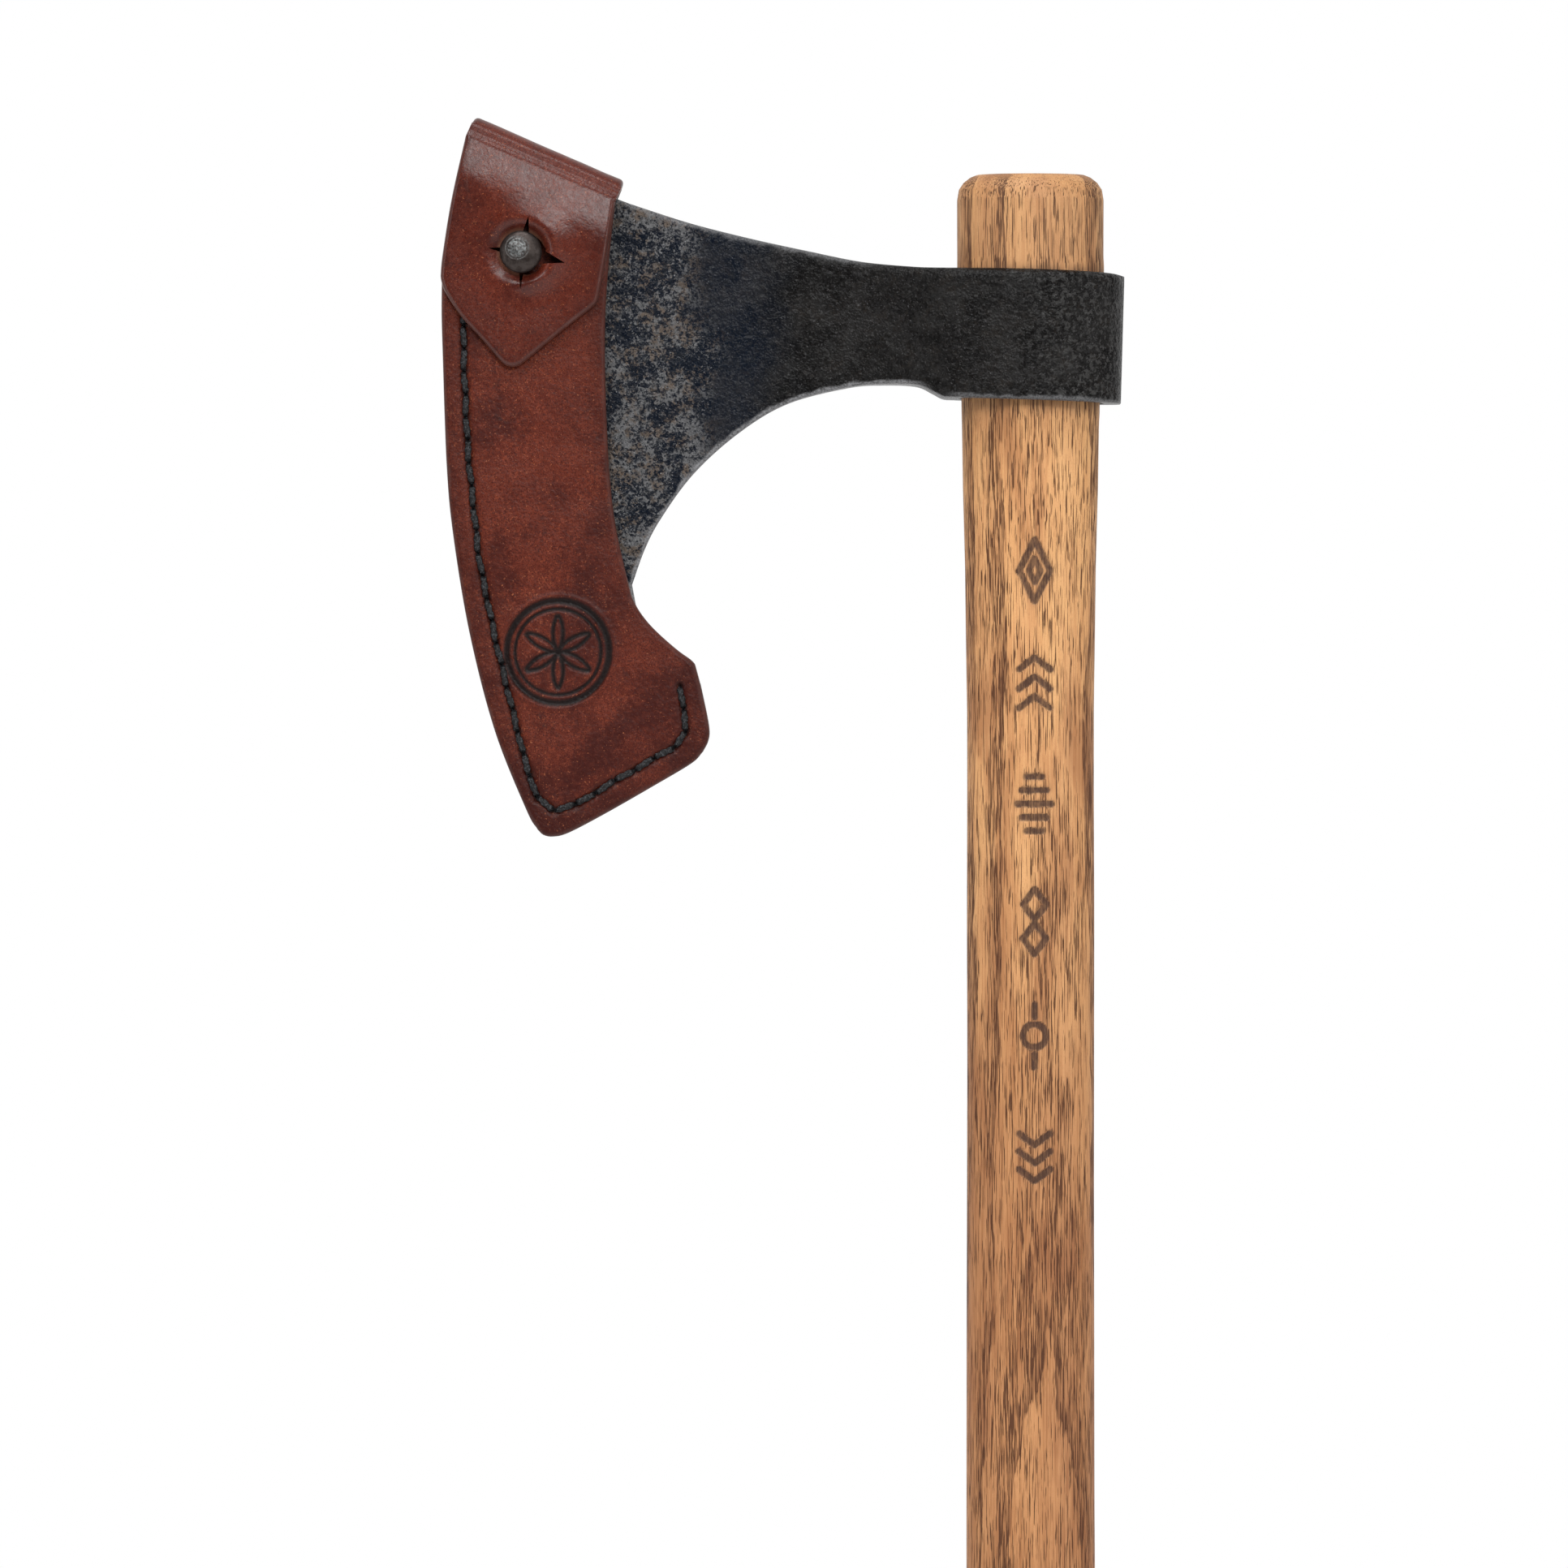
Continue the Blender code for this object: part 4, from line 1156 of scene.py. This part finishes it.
def build_thread(material):
    centres, _ = seam_holes()
    for name, side in (("front_stitches", -1), ("back_stitches", 1)):
        points = []
        faces = []
        for number, (a, b) in enumerate(zip(centres, centres[1:])):
            made, made_faces = stitch(a, b, side, number)
            faces += [tuple(index + len(points) for index in face) for face in made_faces]
            points += list(made)
        thread = new_object(name, points, faces, sharp_degrees=80.0)
        thread.data.materials.append(material)
        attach(thread, "cover")
        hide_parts("seam_thread")


def turned(profile, count):
    """A solid turned about the stud's axis from (radius, distance towards -Y) points."""
    radius, out = np.array(profile).T[:, :, None]
    turns = whole_turn(count)
    round_stud = np.stack([np.cos(turns), np.sin(turns)], 1)
    flat = STUD_CENTRE + radius[..., None] * round_stud
    return upright(flat, -out).reshape(-1, 3), tube_faces(len(profile), count)


def build_stud(material):
    """The domed stud, with the rough ring where its screw was peened."""
    low = FLAP_OUTER + 0.3
    rim = low + 1.1
    top = low + 3.4
    profile = [(2.0, PANEL_OUTER + 0.1), (4.1, PANEL_OUTER + 0.1), (4.1, 5.9), (2.8, 6.3)]
    profile += [(2.8, low - 0.4), (4.6, low - 0.2), (5.2, low)]
    profile += [(STUD_RADIUS, low + 0.35), (STUD_RADIUS, rim - 0.2)]
    angles = np.linspace(0.06, math.pi / 2, 40)[::-1]
    profile += [(STUD_RADIUS * math.sin(a), rim + (top - rim) * math.cos(a)) for a in angles]
    points, faces = turned(profile, 96)
    peen = np.array([-0.95, 0.95]) + STUD_CENTRE
    radius = np.linalg.norm(side_view(points) - peen, axis=1)
    on_top = -points[:, 1] > rim - 0.1
    crater = 0.07 * bell(radius - 2.35, 0.3) - 0.16 * bell(radius - 2.75, 0.22)
    rough = 0.14 * fractal_noise(points, 1.0, 3, 2) * (1.0 - ease(2.1, 2.6, radius))
    points[:, 1] -= (crater + rough) * on_top
    stud = new_object("stud_dome", points, faces, sharp_degrees=50.0)
    spots = places(stud)
    radius = np.linalg.norm(side_view(spots) - peen, axis=1)
    bright = (1.0 - ease(2.3, 2.7, radius)) + 0.8 * bell(radius - 2.95, 0.16)
    store(stud, "worn", bright * (-spots[:, 1] > rim - 0.1))
    stud.data.materials.append(material)
    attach(stud, "cover")
    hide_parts("stud_button")


def build_screw(material):
    low = PANEL_INNER + 0.3
    profile = [(1.0, low), (3.3, low), (3.7, low + 0.3), (3.7, low + 0.8)]
    profile += [(1.5, low + 1.1), (1.5, 7.6), (0.6, 7.8)]
    points, faces = turned(profile, 64)
    screw = new_object("stud_screw_head", points, faces)
    box = [(x, y, z) for x in (-5.0, 5.0) for y in (-low - 0.5, -low + 0.6) for z in (-0.4, 0.4)]
    box = [(x + STUD_CENTRE[0], y, z + STUD_CENTRE[1]) for x, y, z in box]
    sides = [(0, 1, 3, 2), (4, 6, 7, 5), (0, 4, 5, 1), (2, 3, 7, 6), (0, 2, 6, 4), (1, 5, 7, 3)]
    cut_through(screw, new_object("slot_cutter", box, sides))
    store(screw, "worn", np.full(len(screw.data.vertices), 0.2))
    screw.data.materials.append(material)
    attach(screw, "cover")
    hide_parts("stud_screw")


# ------------------------ stage


def build_camera():
    data = bpy.data.cameras.new("camera")
    camera = bpy.data.objects.new("camera", data)
    bpy.context.scene.collection.objects.link(camera)
    camera.location = (VIEW_CENTRE - Vector((0.0, CAMERA_DISTANCE, 0.0))) * MM
    camera.rotation_euler.x = math.pi / 2
    data.sensor_width = SENSOR_WIDTH
    data.lens = SENSOR_WIDTH * CAMERA_DISTANCE / VIEW_WIDTH
    bpy.context.scene.camera = camera


def area_light(name, place, size, power):
    data = bpy.data.lights.new(name, "AREA")
    data.shape = "RECTANGLE"
    data.size = size[0]
    data.size_y = size[1]
    data.energy = power
    lamp = bpy.data.objects.new(name, data)
    lamp.visible_camera = False
    bpy.context.scene.collection.objects.link(lamp)
    lamp.location = place
    aim = VIEW_CENTRE * MM - Vector(place)
    lamp.rotation_euler = aim.to_track_quat("-Z", "Y").to_euler()


def build_stage():
    scene = bpy.context.scene
    scene.view_settings.view_transform = "Standard"
    world = bpy.data.worlds.new("studio")
    scene.world = world
    world.use_nodes = True
    tree = world.node_tree
    background = tree.nodes["Background"]
    background.inputs["Color"].default_value = (1.0, 1.0, 1.0, 1.0)
    direction = node(tree, "SeparateXYZ", {0: node(tree, "TexCoord", {}, "Generated")}, 1)
    around = direction.remap(-0.45, 0.55, 0.06, 0.90)
    strength = node(tree, "LightPath", {}, "Is Camera Ray").calc("MAXIMUM", around)
    tree.links.new(strength.socket, background.inputs["Strength"])
    area_light("key_light", (-0.70, -1.45, 1.60), (0.8, 0.6), 18.5)
    area_light("crest_light", (0.29, -1.68, 1.14), (0.7, 0.35), 18.0)
    area_light("top_light", (-0.15, -0.40, 1.5), (0.9, 0.4), 12.0)
    area_light("right_light", (1.25, -0.95, 0.50), (0.45, 1.1), 9.0)
    area_light("left_light", (-1.45, -0.75, 0.35), (0.4, 1.1), 6.0)

    bpy.ops.mesh.primitive_circle_add(vertices=96, radius=1.2, fill_type="NGON")
    floor = bpy.context.object
    floor.name = "floor"
    material, _, shader = new_material("pale_floor", 0.0, 0.2)
    shader.inputs["Base Color"].default_value = (0.86, 0.86, 0.86, 1.0)
    shader.inputs["Roughness"].default_value = 0.9
    floor.data.materials.append(material)


def main():
    build_camera()
    build_stage()
    build_haft(wood_material())
    build_head(steel_material())
    dyes = ((0.080, 0.0138, 0.0066), (0.030, 0.0040, 0.0023), (0.140, 0.0270, 0.0115))
    build_front_panel(leather_material("cover_leather", *dyes, 0.38, 0.13, 0.20))
    dyes = ((0.074, 0.0118, 0.0056), (0.031, 0.0042, 0.0025), (0.104, 0.0185, 0.0082))
    build_wrap(leather_material("flap_leather", *dyes, 0.27, 0.25, 0.085))
    dyes = ((0.034, 0.0105, 0.0080), (0.018, 0.0055, 0.0048), (0.060, 0.0230, 0.0180))
    build_welt(leather_material("edge_leather", *dyes, 0.40, 0.25, 0.20))
    build_thread(thread_material())
    metal = stud_material()
    build_stud(metal)
    build_screw(metal)


main()
